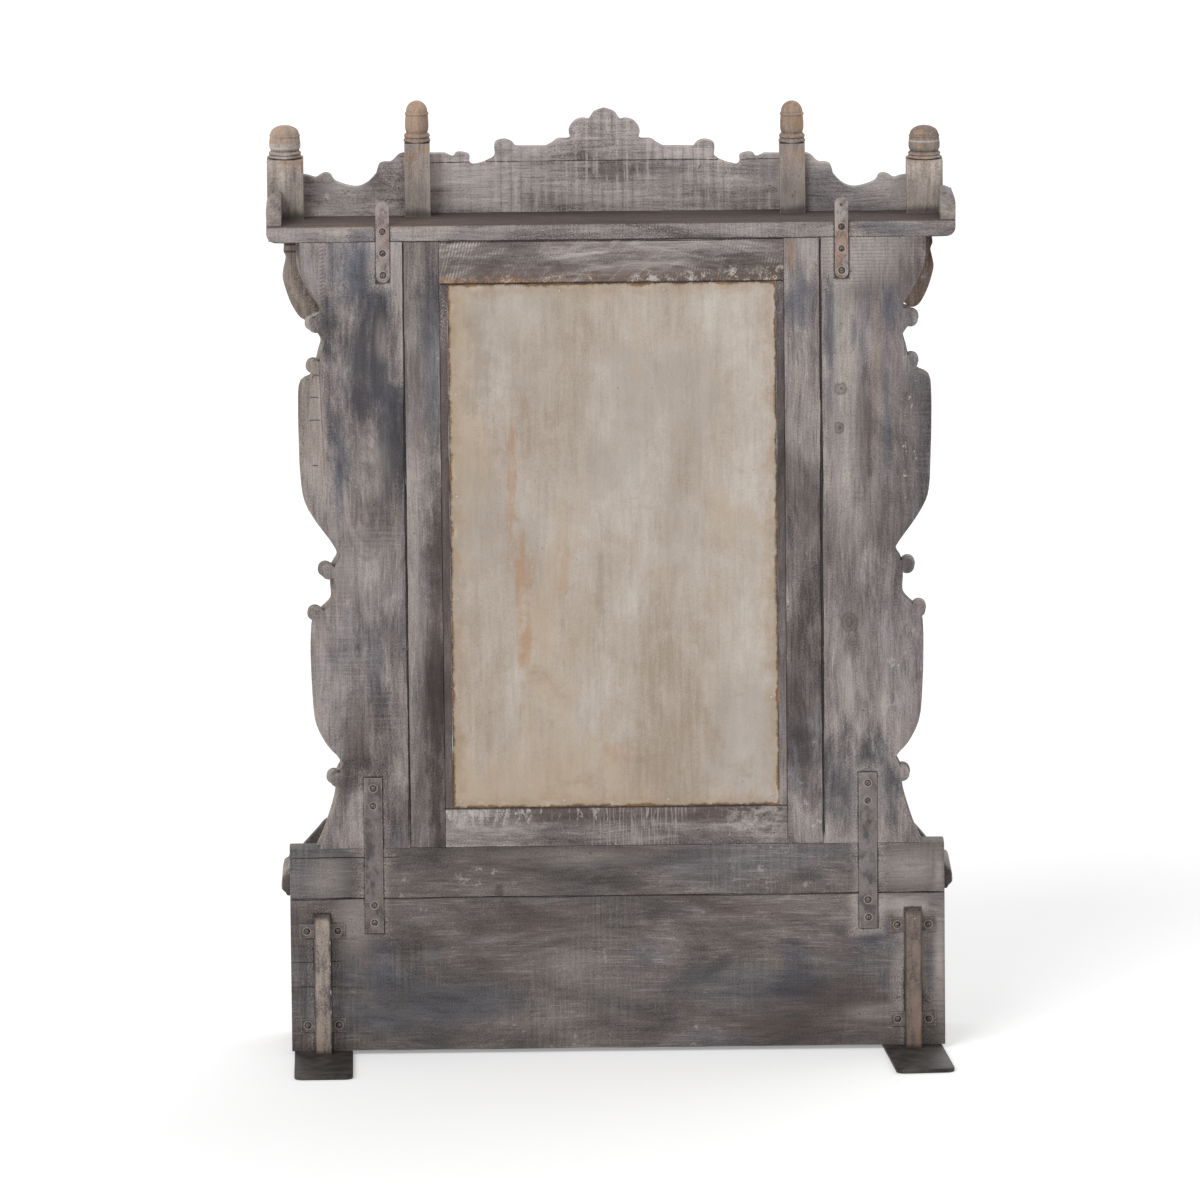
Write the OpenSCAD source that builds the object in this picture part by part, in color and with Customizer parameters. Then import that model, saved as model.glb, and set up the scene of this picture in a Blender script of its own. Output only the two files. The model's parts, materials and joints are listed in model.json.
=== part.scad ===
// Jharokha mirror: a carved window frame of old timber, with a mirror in its
// opening, a moulded cornice with a crest of scroll boards, and two steel stands.
// Millimetres. +Z is up, the front faces -Y, the flat back lies in the plane Y = 0.
// The floor is Z = 0, and X = 0 is the middle of the frame.

/* [Base] */
// Width of the two planks across the back of the base
base_w = 986; // [900:2:1100]
// Height of the base, from the stand plates to the top of its back planks
base_h = 311; // [290:1:360]
// Depth of the base box, from the back to its front board
base_d = 172; // [164:1:230]
// Height of the upper plank of the back
upper_plank_h = 77; // [70:1:100]
// Thickness of the lower plank of the back
lower_plank_t = 28; // [22:1:36]
// Thickness of the base's other boards
board_t = 22; // [16:1:26]
// How far the sill lies below the top of the back planks
sill_drop = 41; // [34:1:50]
// Height of the lotus moulding round the sill
ledge_h = 36; // [28:1:50]
// How far that moulding stands out
ledge_out = 12; // [10:1:22]
// Height of the plinth board along the foot of the base
plinth_h = 34; // [24:1:50]
// Thickness of the plinth board and of the pilasters
applied_t = 12; // [8:1:16]
// Width of each pilaster on the front of the base
pilaster_w = 44; // [30:1:60]
// Depth of the sunk fields in the front board
field_sink = 6; // [3:1:10]
// Number of sunk fields along the front of the base
fields = 3; // [3:1:5]
// Width of the frame left round each sunk field
field_margin = 15; // [10:1:24]
// Radius of the carved rosette in each field
rosette_r = 58; // [36:1:70]

/* [Window frame] */
// Height from the top of the base to the underside of the cornice
window_h = 921; // [880:1:1000]
// Width of the opening between the stiles
opening_w = 515; // [460:1:560]
// Width of each stile
stile_w = 54; // [46:1:66]
// Height of the top rail
top_rail_h = 65; // [50:1:80]
// Height of the bottom rail
bottom_rail_h = 59; // [46:1:80]
// Thickness of the stiles, the rails and the upper plank of the back
frame_t = 44; // [40:1:56]
// Depth of the rebate that takes the glass and the backing panel
rebate_d = 12; // [11:0.5:16]
// Width of the lip in front of the glass
lip_w = 12; // [8:1:16]
// Thickness of the mirror glass
glass_t = 5; // [4:0.5:6]
// Thickness of the backing panel
panel_t = 5; // [4:0.5:6]
// Width of the strips beside the backing panel
liner_w = 12; // [8:1:16]
// Clearance all round the glass and the panel
glass_gap = 0.3; // [0.2:0.1:1]
// Number of nails up each side of the backing panel
pins_up = 6; // [4:1:9]
// Number of nails along its top and its foot
pins_across = 4; // [3:1:7]
// Distance of the nails from the panel's edges
pin_inset = 11; // [8:1:20]
// Radius of the nails' heads
pin_r = 2.2; // [1.5:0.1:3]
// Width of the moulding round the mirror's front
border_w = 34; // [26:1:42]
// Thickness of the moulding round the mirror's front
border_t = 10; // [8:1:14]

/* [Wings] */
// Thickness of the back boards of the wings
wing_t = 28; // [22:1:32]
// Width of a wing at its waists, from the stile
waist_w = 108; // [98:1:124]
// Width of a wing at its widest
wing_w = 163; // [150:1:172]
// Height of the foot scroll
foot_h = 131; // [120:1:150]
// Height of the lower lobe
lower_lobe_h = 314; // [290:1:330]
// Height of the upper lobe
upper_lobe_h = 333; // [310:1:350]
// Radius of the beads between the lobes
bead_r = 11; // [8:0.5:13]
// How far both wings sit to the right of even places below their heads, seen from behind
wing_shift = 3.5; // [0:0.5:6]
// How much narrower the back board of the left wing is than its facing
left_wing_trim = 6; // [2:0.5:10]
// How much narrower the back board of the right wing is than its facing
right_wing_trim = 2; // [1:0.5:6]

/* [Columns and arch] */
// Distance of each column from the middle
column_x = 372; // [364:1:380]
// Distance of the columns' axes from the back
column_y = 100; // [90:1:106]
// Side of the square foot and of the square cap of a column
column_block = 84; // [70:1:90]
// Thickness of the square foot
plinth_block_h = 22; // [16:1:30]
// Height of the turned lotus above the foot
lotus_h = 96; // [80:1:120]
// Radius of the reeded shaft
shaft_r = 27; // [22:0.5:30]
// Number of reeds round the shaft
reeds = 12; // [8:1:16]
// Height of the turned bell under the cap
bell_h = 62; // [50:1:80]
// Height of the square cap
cap_h = 88; // [70:1:110]
// Thickness of the arch board and the scroll brackets
arch_t = 24; // [18:1:30]
// Height of the frieze beam over the arch
frieze_h = 46; // [36:1:60]
// Thickness of the frieze beam
frieze_t = 36; // [30:1:44]
// Rise of the arch above its springing
arch_rise = 150; // [130:1:170]
// Height of timber left over the arch's highest cusp
arch_crown = 30; // [22:1:40]
// Number of foils cut in the arch
foils = 11; // [9:2:15]
// Width of the small upright at each end of the arch
arch_jamb = 16; // [12:1:24]
// Radius of each foil
foil_r = 48; // [44:0.5:54]
// How far the point over the middle foil rises
arch_point = 15; // [8:1:20]
// Height of the left scroll bracket under the cornice
left_bracket_h = 130; // [110:1:150]
// Height of the right scroll bracket under the cornice
right_bracket_h = 120; // [106:1:146]
// How far the left bracket stands out from its column's cap
left_bracket_out = 79; // [60:1:84]
// How far the right bracket stands out from its column's cap
right_bracket_out = 71; // [60:1:84]
// Height of the scrolls beside the columns' feet
foot_scroll_h = 66; // [50:1:80]
// How far the left foot scroll stands out
left_foot_scroll_out = 75; // [60:1:78]
// How far the right foot scroll stands out
right_foot_scroll_out = 70; // [60:1:78]

/* [Cornice] */
// Width of the cornice board
cornice_w = 1029; // [1000:1:1100]
// Thickness of the cornice board
cornice_t = 25; // [20:1:32]
// Depth of the cornice board
cornice_d = 151; // [148:1:180]
// Radius of the lower corners of the cornice board
cornice_r = 14; // [8:1:18]
// Width of the upstands along the cornice's ends
upstand_w = 23; // [18:1:30]
// Height of the upstands above the board
upstand_h = 42; // [34:1:50]
// Radius of the outer edge of the upstands
upstand_r = 17; // [8:1:18]
// Thickness of the front fascia
fascia_t = 24; // [18:1:30]
// How far the fascia rises above the board
fascia_rise = 25; // [16:1:36]
// How far the fascia hangs below the board
fascia_drop = 20; // [12:1:26]
// Width of each dentil under the cornice
dentil_w = 14; // [10:1:20]
// Spacing of the dentils
dentil_pitch = 30; // [24:1:40]
// Height of the dentils
dentil_h = 16; // [12:1:20]

/* [Crest] */
// Thickness of the crest boards
crest_t = 22; // [18:1:26]
// How far the crest and its posts sit to the left of the middle
crest_shift = 7.5; // [0:0.5:8]
// How much lower the middle crest is at its right end than at its left
crest_fall = 6; // [0:0.5:10]
// Height of the middle crest board's peak above the cornice
crest_h = 157; // [140:1:170]
// Height of the shoulders on the middle board
crest_shoulder_h = 101; // [94:1:108]
// Height of the joint between the middle crest's two planks
crest_joint_h = 77; // [72:1:80]
// Height of the side crest boards where they meet the inner posts
side_crest_h = 93; // [84:1:104]
// How far the side crest boards lie behind the posts' front faces
side_crest_inset = 3; // [1:0.5:8]
// Side of the outer posts
outer_post_w = 54; // [46:1:58]
// Distance of the outer posts' axes from the middle
outer_post_x = 479; // [470:1:480]
// Height of the square part of the outer posts
outer_post_h = 87; // [76:1:100]
// Height of the turned head of the outer posts
outer_head_h = 50; // [40:1:60]
// Side of the inner posts
inner_post_w = 38; // [34:1:46]
// Distance of the inner posts' axes from the middle
inner_post_x = 281; // [270:1:292]
// Height of the square part of the inner posts
inner_post_h = 110; // [100:1:124]
// Height of the turned head of the inner posts
inner_head_h = 63; // [52:1:76]

/* [Straps] */
// Thickness of the steel straps
strap_t = 3; // [2:0.5:4]
// Width of the upper straps
upper_strap_w = 20; // [16:1:26]
// Spacing of the four holes in an upper strap
upper_strap_pitch = 33; // [28:1:36]
// Distance of the end holes from the ends of an upper strap
upper_strap_end = 11.5; // [10:0.5:15]
// How far an upper strap's second hole lies above the middle of the cornice board
upper_strap_rise = 4; // [0:0.5:6]
// Distance of the left upper strap's middle from the stile's outer edge
left_upper_strap_in = 29.5; // [22:0.5:40]
// Distance of the right upper strap's middle from the stile's outer edge
right_upper_strap_in = 32.5; // [22:0.5:40]
// Width of the lower straps
lower_strap_w = 27; // [22:1:32]
// How far a lower strap reaches above the top of the base
lower_strap_up = 108; // [96:1:120]
// How far a lower strap reaches below the top of the base
lower_strap_down = 130; // [122:1:150]
// Gap between the left lower strap and the stand strap beside it
left_strap_gap = 31.5; // [14:0.5:40]
// Gap between the right lower strap and the stand strap beside it
right_strap_gap = 19.5; // [14:0.5:40]
// Spacing of the two screws at each end of a lower strap
lower_strap_pitch = 27; // [22:1:32]
// Distance of the end screws from the ends of a lower strap
strap_margin = 16; // [12:1:18]
// Radius of the holes in the straps
strap_hole_r = 2.75; // [2.5:0.05:3.5]
// Radius of the screws' shanks
screw_r = 1.9; // [1.5:0.05:2.3]
// Radius of the screws' heads
screw_head_r = 4.4; // [3.8:0.1:5.5]
// Length of the screws below the strap
screw_l = 18; // [12:1:20]
// Clearance round a screw's shank in the timber
pilot_gap = 0.1; // [0.05:0.05:0.3]

/* [Stands] */
// Side of the square stand tubes
tube_w = 25; // [20:1:30]
// Wall of the stand tubes
tube_wall = 2; // [1.5:0.5:3]
// Height of the stand tubes
tube_h = 211; // [190:1:240]
// Distance of the stand tubes from the ends of the base
tube_inset = 48; // [44:1:64]
// Length of the flat straps behind the tubes
stand_strap_l = 68; // [62:1:80]
// Height of those flat straps
stand_strap_h = 21; // [16:1:26]
// Height of the lower strap's middle above the plate
stand_strap_low = 40; // [30:1:60]
// Height of the upper strap's middle above the plate
stand_strap_high = 185; // [160:1:190]
// Thickness of the stand plates
plate_t = 6; // [4:1:10]
// Width of the stand plates
plate_w = 88; // [70:1:90]
// How far the plates reach behind the frame
plate_reach = 180; // [150:1:220]
// How far the plates reach under the base
plate_under = 150; // [120:1:165]
// Radius of the plates' corners
plate_r = 13; // [6:1:20]
// Turn of the left plate, in degrees
left_plate_turn = 0.6; // [0:0.1:3]
// Turn of the right plate, in degrees
right_plate_turn = 4.6; // [0:0.1:6]

/* [Hidden] */

$fn = 32;
// Small overlap that lets one cut pass clean through another solid
cut = 1;

base_z = plate_t;
base_top = base_z + base_h;
joint_z = base_top - upper_plank_h;
sill_z = base_top - sill_drop;
ledge_z = sill_z - ledge_h;
cornice_z = base_top + window_h;
tray_z = cornice_z + cornice_t;
opening_z = base_top + bottom_rail_h;
opening_h = window_h - bottom_rail_h - top_rail_h;
wing_x = opening_w / 2 + stile_w;
cap_z = cornice_z - cap_h;
bell_z = cap_z - bell_h;
shaft_z = sill_z + plinth_block_h + lotus_h;
frieze_z = cornice_z - frieze_h;
springing_z = frieze_z - arch_crown - arch_rise;
arch_half_w = column_x - column_block / 2;
arch_y = column_y - arch_t / 2;
crest_y = cornice_d - crest_t;
outer_post_y = crest_y - outer_post_w;
side_crest_y = crest_y - crest_t - side_crest_inset;
inner_post_y = crest_y - inner_post_w;
tube_x = base_w / 2 - tube_inset;
tube_y = strap_t;
tab_x = (stand_strap_l / 2 + tube_w / 2) / 2;
upper_strap_z = cornice_z + cornice_t / 2 + upper_strap_rise;
upper_strap_l = 3 * upper_strap_pitch + 2 * upper_strap_end;

old_timber = [0.47, 0.44, 0.42];
pale_timber = [0.58, 0.55, 0.52];
dark_timber = [0.36, 0.33, 0.31];
cream = [0.77, 0.71, 0.63];
old_steel = [0.50, 0.45, 0.42];
black_steel = [0.16, 0.15, 0.15];
silver = [0.82, 0.84, 0.85];

// Points along an arc
function arc(x, y, r, from, to, n = 6) =
    [for (i = [0:n]) let (a = from + (to - from) * i / n) [x + r * cos(a), y + r * sin(a)]];

// One point of the smooth curve between p1 and p2
function blend(p0, p1, p2, p3, t) =
    0.5 * (2 * p1 + (p2 - p0) * t + (2 * p0 - 5 * p1 + 4 * p2 - p3) * t * t
        + (3 * p1 - p0 - 3 * p2 + p3) * t * t * t);

// A smooth curve through every point of p
function curve(p, n = 4) = concat(
    [for (i = [0:len(p) - 2], s = [0:n - 1])
        blend(p[max(i - 1, 0)], p[i], p[i + 1], p[min(i + 2, len(p) - 1)], s / n)],
    [p[len(p) - 1]]);

// The same outline on the other side of the middle line
function mirrored(p) = [for (i = [len(p) - 1:-1:0]) [-p[i][0], p[i][1]]];

// Extrudes an outline drawn in X and Z, from y = -back to y = -(back + t)
module upright(back, t) {
    translate([0, -back, 0]) rotate([90, 0, 0]) linear_extrude(t) children();
}

// A box from one corner to the other
module block(x0, x1, y0, y1, z0, z1) {
    translate([x0, y0, z0]) cube([x1 - x0, y1 - y0, z1 - z0]);
}

// side is 1 for the left piece, seen from behind, and -1 for the right one
module on_side(side) {
    if (side > 0) children();
    else mirror([1, 0, 0]) children();
}

// Base

function strap_screw_z(i) = [
    base_top + lower_strap_up - strap_margin,
    base_top + lower_strap_up - strap_margin - lower_strap_pitch,
    base_top - lower_strap_down + strap_margin + lower_strap_pitch,
    base_top - lower_strap_down + strap_margin
][i];

function upper_hole_z(i) = upper_strap_z + (1 - i) * upper_strap_pitch;

function upper_strap_x(side) =
    side * (wing_x + (side > 0 ? left_upper_strap_in : right_upper_strap_in));

function lower_strap_x(side) = side * (tube_x - stand_strap_l / 2 - lower_strap_w / 2
    - (side > 0 ? left_strap_gap : right_strap_gap));

function stand_strap_z(i) = base_z + [stand_strap_low, stand_strap_high][i];

// Hole for a screw's shank, from the back face into the timber
module pilot(x, z) {
    translate([x, cut, z]) rotate([90, 0, 0])
        cylinder(r = screw_r + pilot_gap, h = screw_l + cut + pilot_gap);
}

module base_rear_lower_plank() {
    color(old_timber) difference() {
        block(-base_w / 2, base_w / 2, -lower_plank_t, 0, base_z, joint_z);
        for (side = [-1, 1], i = [2, 3]) pilot(lower_strap_x(side), strap_screw_z(i));
        for (side = [-1, 1], tab = [-1, 1], i = [0, 1])
            pilot(side * tube_x + tab * tab_x, stand_strap_z(i));
    }
}

module base_rear_upper_plank() {
    color(old_timber) block(-base_w / 2, base_w / 2, -frame_t, 0, joint_z, base_top);
}

module base_side(side) {
    color(old_timber) on_side(side)
        block(base_w / 2 - board_t, base_w / 2, board_t - base_d, -lower_plank_t,
            base_z, sill_z - board_t);
}

module base_sill() {
    color(pale_timber)
        block(-base_w / 2, base_w / 2, -base_d, -frame_t, sill_z - board_t, sill_z);
}

module base_floor() {
    color(old_timber)
        block(-base_w / 2 + board_t, base_w / 2 - board_t, board_t - base_d, -lower_plank_t,
            base_z, base_z + board_t);
}

field_pitch = (base_w - pilaster_w) / fields;
field_w = field_pitch - pilaster_w - 2 * field_margin;
field_z = base_z + plinth_h;
field_h = ledge_z - field_z;
field_mid_z = field_z + field_h / 2;

function field_x(i) = (i - (fields - 1) / 2) * field_pitch;

module base_front_panel() {
    color(old_timber) difference() {
        block(-base_w / 2, base_w / 2, -base_d, board_t - base_d, base_z,
            sill_z - board_t);
        for (i = [0:fields - 1]) translate([field_x(i), 0, 0])
            block(-field_w / 2, field_w / 2, -base_d - cut, field_sink - base_d,
                field_z + field_margin, ledge_z - field_margin);
    }
}

// Four pilasters, each with a raised lozenge up its middle
module base_pilasters() {
    lozenge_t = 2;
    color(pale_timber) for (i = [0:fields])
        translate([field_x(i) - field_pitch / 2, 0, 0]) {
            block(-pilaster_w / 2, pilaster_w / 2, -base_d - applied_t, -base_d,
                field_z, ledge_z);
            upright(base_d, applied_t + lozenge_t) translate([0, field_mid_z])
                polygon([[-pilaster_w / 5, 0], [0, -field_h / 2.6], [pilaster_w / 5, 0],
                    [0, field_h / 2.6]]);
        }
}

// Outline of a flower with round petals
function flower(r, petals) =
    [for (a = [0:360 / (petals * 8):359]) let (k = r * (0.78 + 0.22 * abs(cos(a * petals / 2))))
        [k * cos(a), k * sin(a)]];

// Disc, two rings of petals and a low boss, each a step higher
module rosette(r) {
    step = 3;
    linear_extrude(field_sink) circle(r, $fn = 48);
    linear_extrude(field_sink + step) polygon(flower(r * 0.86, 8));
    linear_extrude(field_sink + 2 * step) polygon(flower(r * 0.5, 6));
    translate([0, 0, field_sink + 2 * step]) rotate_extrude(convexity = 2)
        polygon(concat([[0, 0]], [for (a = [0:18:90]) [r * 0.2 * cos(a), step * sin(a)]]));
}

module base_rosettes() {
    color(pale_timber) for (i = [0:fields - 1])
        translate([field_x(i), field_sink - base_d, field_mid_z]) rotate([90, 0, 0])
            rosette(min(rosette_r, field_h / 2 - field_margin));
}

// Section of the lotus moulding: out from the board, and up
function ledge_section() = concat(
    [[0, 0], [ledge_out * 0.4, 0]],
    arc(ledge_out * 0.4, ledge_h * 0.34, ledge_out * 0.6, -70, 0, 4),
    arc(ledge_out * 0.3, ledge_h * 0.62, ledge_out * 0.7, 0, 80, 6),
    [[ledge_out * 0.25, ledge_h], [0, ledge_h]]);

// Plan of a mitred length: along the front, or along one side
module ledge_plan(along_front) {
    w = base_w / 2;
    reach = ledge_out + cut;
    translate([0, 0, ledge_z - cut]) linear_extrude(ledge_h + 2 * cut)
        if (along_front)
            polygon([[-w, -base_d], [-w - reach, -base_d - reach],
                [w + reach, -base_d - reach], [w, -base_d]]);
        else
            polygon([[w, -base_d], [w + reach, -base_d - reach],
                [w + reach, -lower_plank_t], [w, -lower_plank_t]]);
}

// Three mitred lengths, which meet at the front corners
module ledge_mouldings() {
    color(pale_timber) {
        intersection() {
            translate([-base_w / 2 - ledge_out, -base_d, ledge_z]) rotate([90, 0, 90])
                linear_extrude(base_w + 2 * ledge_out)
                    polygon([for (p = ledge_section()) [-p[0], p[1]]]);
            ledge_plan(true);
        }
        for (side = [-1, 1]) on_side(side) intersection() {
            upright(lower_plank_t, base_d - lower_plank_t + ledge_out)
                translate([base_w / 2, ledge_z]) polygon(ledge_section());
            ledge_plan(false);
        }
    }
}

module plinth_board() {
    r = applied_t / 2;
    color(dark_timber) translate([-base_w / 2, -base_d, base_z]) rotate([90, 0, 90])
        linear_extrude(base_w) polygon(concat([[0, 0], [-applied_t, 0]],
            arc(r - applied_t, plinth_h - r, r, 180, 90, 4), [[0, plinth_h]]));
}

// Window frame

// One stile, rebated from the back for the glass
module stile(side) {
    color(old_timber) on_side(side) {
        block(opening_w / 2, wing_x, -frame_t, 0, base_top, cornice_z);
        block(opening_w / 2 - lip_w, opening_w / 2 + cut, -frame_t, -rebate_d,
            opening_z, opening_z + opening_h);
    }
}

module rail(z0, z1, lip_z0, lip_z1) {
    color(dark_timber) {
        block(-opening_w / 2, opening_w / 2, -frame_t, 0, z0, z1);
        block(lip_w - opening_w / 2, opening_w / 2 - lip_w, -frame_t, -rebate_d,
            lip_z0, lip_z1);
    }
}

module top_rail() {
    z = cornice_z - top_rail_h;
    rail(z, cornice_z, z - lip_w, z + cut);
}

module bottom_rail() {
    rail(base_top, opening_z, opening_z - cut, opening_z + lip_w);
}

module mirror_glass() {
    color(silver) block(glass_gap - opening_w / 2, opening_w / 2 - glass_gap,
        -rebate_d, glass_t - rebate_d, opening_z + glass_gap,
        opening_z + opening_h - glass_gap);
}

module panel_liners() {
    color(pale_timber) for (side = [-1, 1]) on_side(side)
        block(opening_w / 2 - liner_w, opening_w / 2, glass_t - rebate_d, 0, opening_z,
            opening_z + opening_h);
}

module backing_panel() {
    w = opening_w / 2 - liner_w - glass_gap;
    color(cream) block(-w, w, glass_t - rebate_d, glass_t + panel_t - rebate_d,
        opening_z + glass_gap, opening_z + opening_h - glass_gap);
}

module pin(x, z) {
    head_t = 1;
    translate([x, glass_t + panel_t - rebate_d, z]) rotate([-90, 0, 0])
        cylinder(r = pin_r, h = head_t);
}

// Small nails that hold the backing panel, their heads proud of it
module panel_pins() {
    w = opening_w / 2 - liner_w - pin_inset;
    h = opening_h - 2 * pin_inset;
    color(old_steel) {
        for (side = [-1, 1], i = [0:pins_up - 1])
            pin(side * w, opening_z + pin_inset + h * i / (pins_up - 1));
        for (end = [0, 1], i = [1:pins_across - 2])
            pin(w * (2 * i / (pins_across - 1) - 1), opening_z + pin_inset + end * h);
    }
}

// Outline of a ring round the opening, from one distance outside its lips to another
module border_ring(from, to) {
    w = opening_w - 2 * lip_w;
    h = opening_h - 2 * lip_w;
    translate([0, opening_z + opening_h / 2]) difference() {
        square([w + 2 * to, h + 2 * to], center = true);
        square([w + 2 * from, h + 2 * from], center = true);
    }
}

// Moulding round the opening's front: a flat ring and a raised bead on it
module mirror_border() {
    color(pale_timber) {
        upright(frame_t, border_t) border_ring(0, border_w);
        upright(frame_t, border_t * 1.6) border_ring(border_w * 0.3, border_w * 0.7);
    }
}

// Wings

// Heights and widths of a tier's outline, as shares of the tier
foot_points = [[0, 0.66], [0.17, 0.47], [0.4, 0.29], [0.58, 0.17], [0.72, 0.12], [0.88, 0.1]];
lower_points = [[0, 0], [0.07, 0.33], [0.17, 0.62], [0.27, 0.7], [0.47, 0.75], [0.62, 0.74],
    [0.7, 0.66], [0.77, 0.25], [0.81, 0.18], [0.87, 0.2], [0.95, 0.16]];
upper_points = [[0, 0], [0.045, 0.11], [0.14, 0.53], [0.23, 0.84], [0.32, 0.95], [0.5, 0.99],
    [0.7, 1], [0.79, 0.93], [0.83, 0.55], [0.93, 0.38], [0.98, 0.3]];
head_points = [[0.03, 0.4], [0.13, 0.6], [0.22, 0.5], [0.26, 0.3], [0.41, 0.51], [0.55, 0.73],
    [0.74, 0.91], [1, 0.93]];

function tier(z, h, points) =
    [for (p = points) [waist_w + p[1] * (wing_w - waist_w), z + p[0] * h]];

lower_z = foot_h;
upper_z = lower_z + lower_lobe_h;
head_z = upper_z + upper_lobe_h;
head_h = window_h - head_z;

// Middles of the beads: width from the stile, height above the base
beads = [
    [waist_w + 9, lower_z - 26],
    [waist_w + 34.5, upper_z - 90],
    [waist_w + 18, upper_z - 23],
    [waist_w + 28.5, head_z - 47],
    [waist_w + 29, head_z + 18]
];

// Outline of a wing, from the stile outwards: narrowed by trim, and below its head by
// shift as well
module wing_outline(trim, shift) {
    shoulder_z = head_z - 0.18 * upper_lobe_h;
    function moved(q) = q - [q[1] < shoulder_z ? trim + shift : trim, 0];
    p = curve(concat(tier(0, foot_h, foot_points), tier(lower_z, lower_lobe_h, lower_points),
        tier(upper_z, upper_lobe_h, upper_points), tier(head_z, head_h, head_points)), 3);
    translate([wing_x, base_top]) {
        polygon(concat([[0, 0]], [for (q = p) moved(q)], [[0, window_h]]));
        for (b = beads) translate(moved(b)) circle(bead_r);
    }
}

// Strip lost along the waney edge of the left back board, beside the upper lobe
module waney_edge() {
    from = upper_z + 0.3 * upper_lobe_h;
    to = upper_z + 0.92 * upper_lobe_h;
    translate([wing_x, base_top]) polygon(concat(
        curve([[wing_w, from - 30], [wing_w - 8, from + 10], [wing_w - 22, to - 60],
            [wing_w - 26, to - 30], [wing_w - 26, to]]),
        [[wing_w + cut, to], [wing_w + cut, from - 30]]));
}

module wing(side, trim) {
    color(old_timber) difference() {
        on_side(side) upright(0, wing_t) difference() {
            wing_outline(trim, side * wing_shift);
            if (side > 0) waney_edge();
        }
        for (i = [2, 3]) pilot(upper_strap_x(side), upper_hole_z(i));
        for (i = [0, 1]) pilot(lower_strap_x(side), strap_screw_z(i));
    }
}

// Carved front layer of a wing, with a sunk field that follows its lobes
module wing_facing(side) {
    sink = 4;
    color(pale_timber) on_side(side) difference() {
        upright(wing_t, frame_t - wing_t) wing_outline(0, side * wing_shift);
        for (f = [[lower_z, lower_lobe_h], [upper_z, upper_lobe_h]])
            upright(frame_t - sink, sink + cut) translate([wing_x, base_top + f[0]])
                polygon(curve([[20, f[1] * 0.12], [waist_w * 0.72, f[1] * 0.12],
                    [waist_w * 1.05, f[1] * 0.3], [waist_w * 1.1, f[1] * 0.55],
                    [waist_w * 0.8, f[1] * 0.74], [20, f[1] * 0.8]]));
    }
}

// Columns and arch

module column_foot(side) {
    r = column_block / 2;
    torus_r = 8;
    neck_r = 6;
    color(pale_timber) translate([side * column_x, -column_y, sill_z]) {
        block(-r, r, -r, r, 0, plinth_block_h);
        translate([0, 0, plinth_block_h]) rotate_extrude(convexity = 4) polygon(concat(
            [[0, 0], [r - 1.2 * torus_r, 0]],
            arc(r - 1.2 * torus_r, torus_r, torus_r, -80, 90, 6),
            curve([[r * 0.66, lotus_h * 0.21], [r * 0.62, lotus_h * 0.34],
                [r * 0.86, lotus_h * 0.56], [r * 0.78, lotus_h * 0.74],
                [shaft_r, lotus_h - 2 * neck_r]], 5),
            arc(shaft_r, lotus_h - neck_r, neck_r, -90, 90, 5),
            [[0, lotus_h]]));
    }
}

// Reeded shaft between plain ends, with two round bands
module column_shaft(side) {
    l = bell_z - shaft_z;
    end_h = 14;
    groove = 5;
    reed = 4;
    band_r = 6;
    band_h = 3 * band_r;
    color(pale_timber) translate([side * column_x, -column_y, shaft_z]) {
        for (z = [0, l - end_h]) translate([0, 0, z]) cylinder(r = shaft_r, h = end_h);
        translate([0, 0, end_h]) linear_extrude(l - 2 * end_h)
            polygon([for (a = [0:360 / (reeds * 8):359])
                let (k = shaft_r - groove + reed * abs(cos(a * reeds / 2)))
                    [k * cos(a), k * sin(a)]]);
        for (share = [1 / 3, 2 / 3]) translate([0, 0, l * share - band_h / 2])
            rotate_extrude(convexity = 4) polygon(concat([[0, 0], [shaft_r, 0]],
                arc(shaft_r, band_h / 2, band_r, -80, 80, 6),
                [[shaft_r, band_h], [0, band_h]]));
    }
}

module column_capital(side) {
    r = column_block / 2;
    neck_r = 6;
    color(pale_timber) translate([side * column_x, -column_y, bell_z]) {
        rotate_extrude(convexity = 4) polygon(concat(
            [[0, 0]],
            arc(shaft_r, neck_r, neck_r, -90, 90, 5),
            curve([[shaft_r, 2.3 * neck_r], [shaft_r * 1.04, bell_h * 0.45],
                [r * 0.82, bell_h * 0.8], [r * 0.95, bell_h]], 5),
            [[0, bell_h]]));
        block(-r, r, -r, r, bell_h, bell_h + cap_h);
    }
}

// Middle of foil i, on half an ellipse
function foil_centre(i) = let (a = 180 * i / (foils - 1))
    [(arch_half_w - arch_jamb - foil_r) * cos(a), (arch_rise - foil_r) * sin(a)];

// Multifoil arch, whose middle foil runs up to a point along its tangents
module cusped_arch() {
    lean = acos(foil_r / (foil_r + arch_point));
    half = arch_half_w - arch_jamb;
    color(pale_timber) upright(arch_y, arch_t) difference() {
        translate([-arch_half_w, springing_z])
            square([2 * arch_half_w, frieze_z - springing_z]);
        translate([0, springing_z]) {
            for (i = [0:foils - 1]) translate(foil_centre(i)) circle(foil_r);
            polygon(concat([for (i = [0:foils - 1]) foil_centre(i)],
                [[-half, 0], [-half, -cut], [half, -cut], [half, 0]]));
            polygon([[0, arch_rise + arch_point],
                [foil_r * sin(lean), arch_rise - foil_r + foil_r * cos(lean)],
                [0, arch_rise - foil_r],
                [-foil_r * sin(lean), arch_rise - foil_r + foil_r * cos(lean)]]);
        }
    }
}

module frieze_beam() {
    color(old_timber)
        block(-arch_half_w, arch_half_w, -column_y - frieze_t / 2, -column_y + frieze_t / 2,
            frieze_z, cornice_z);
}

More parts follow.
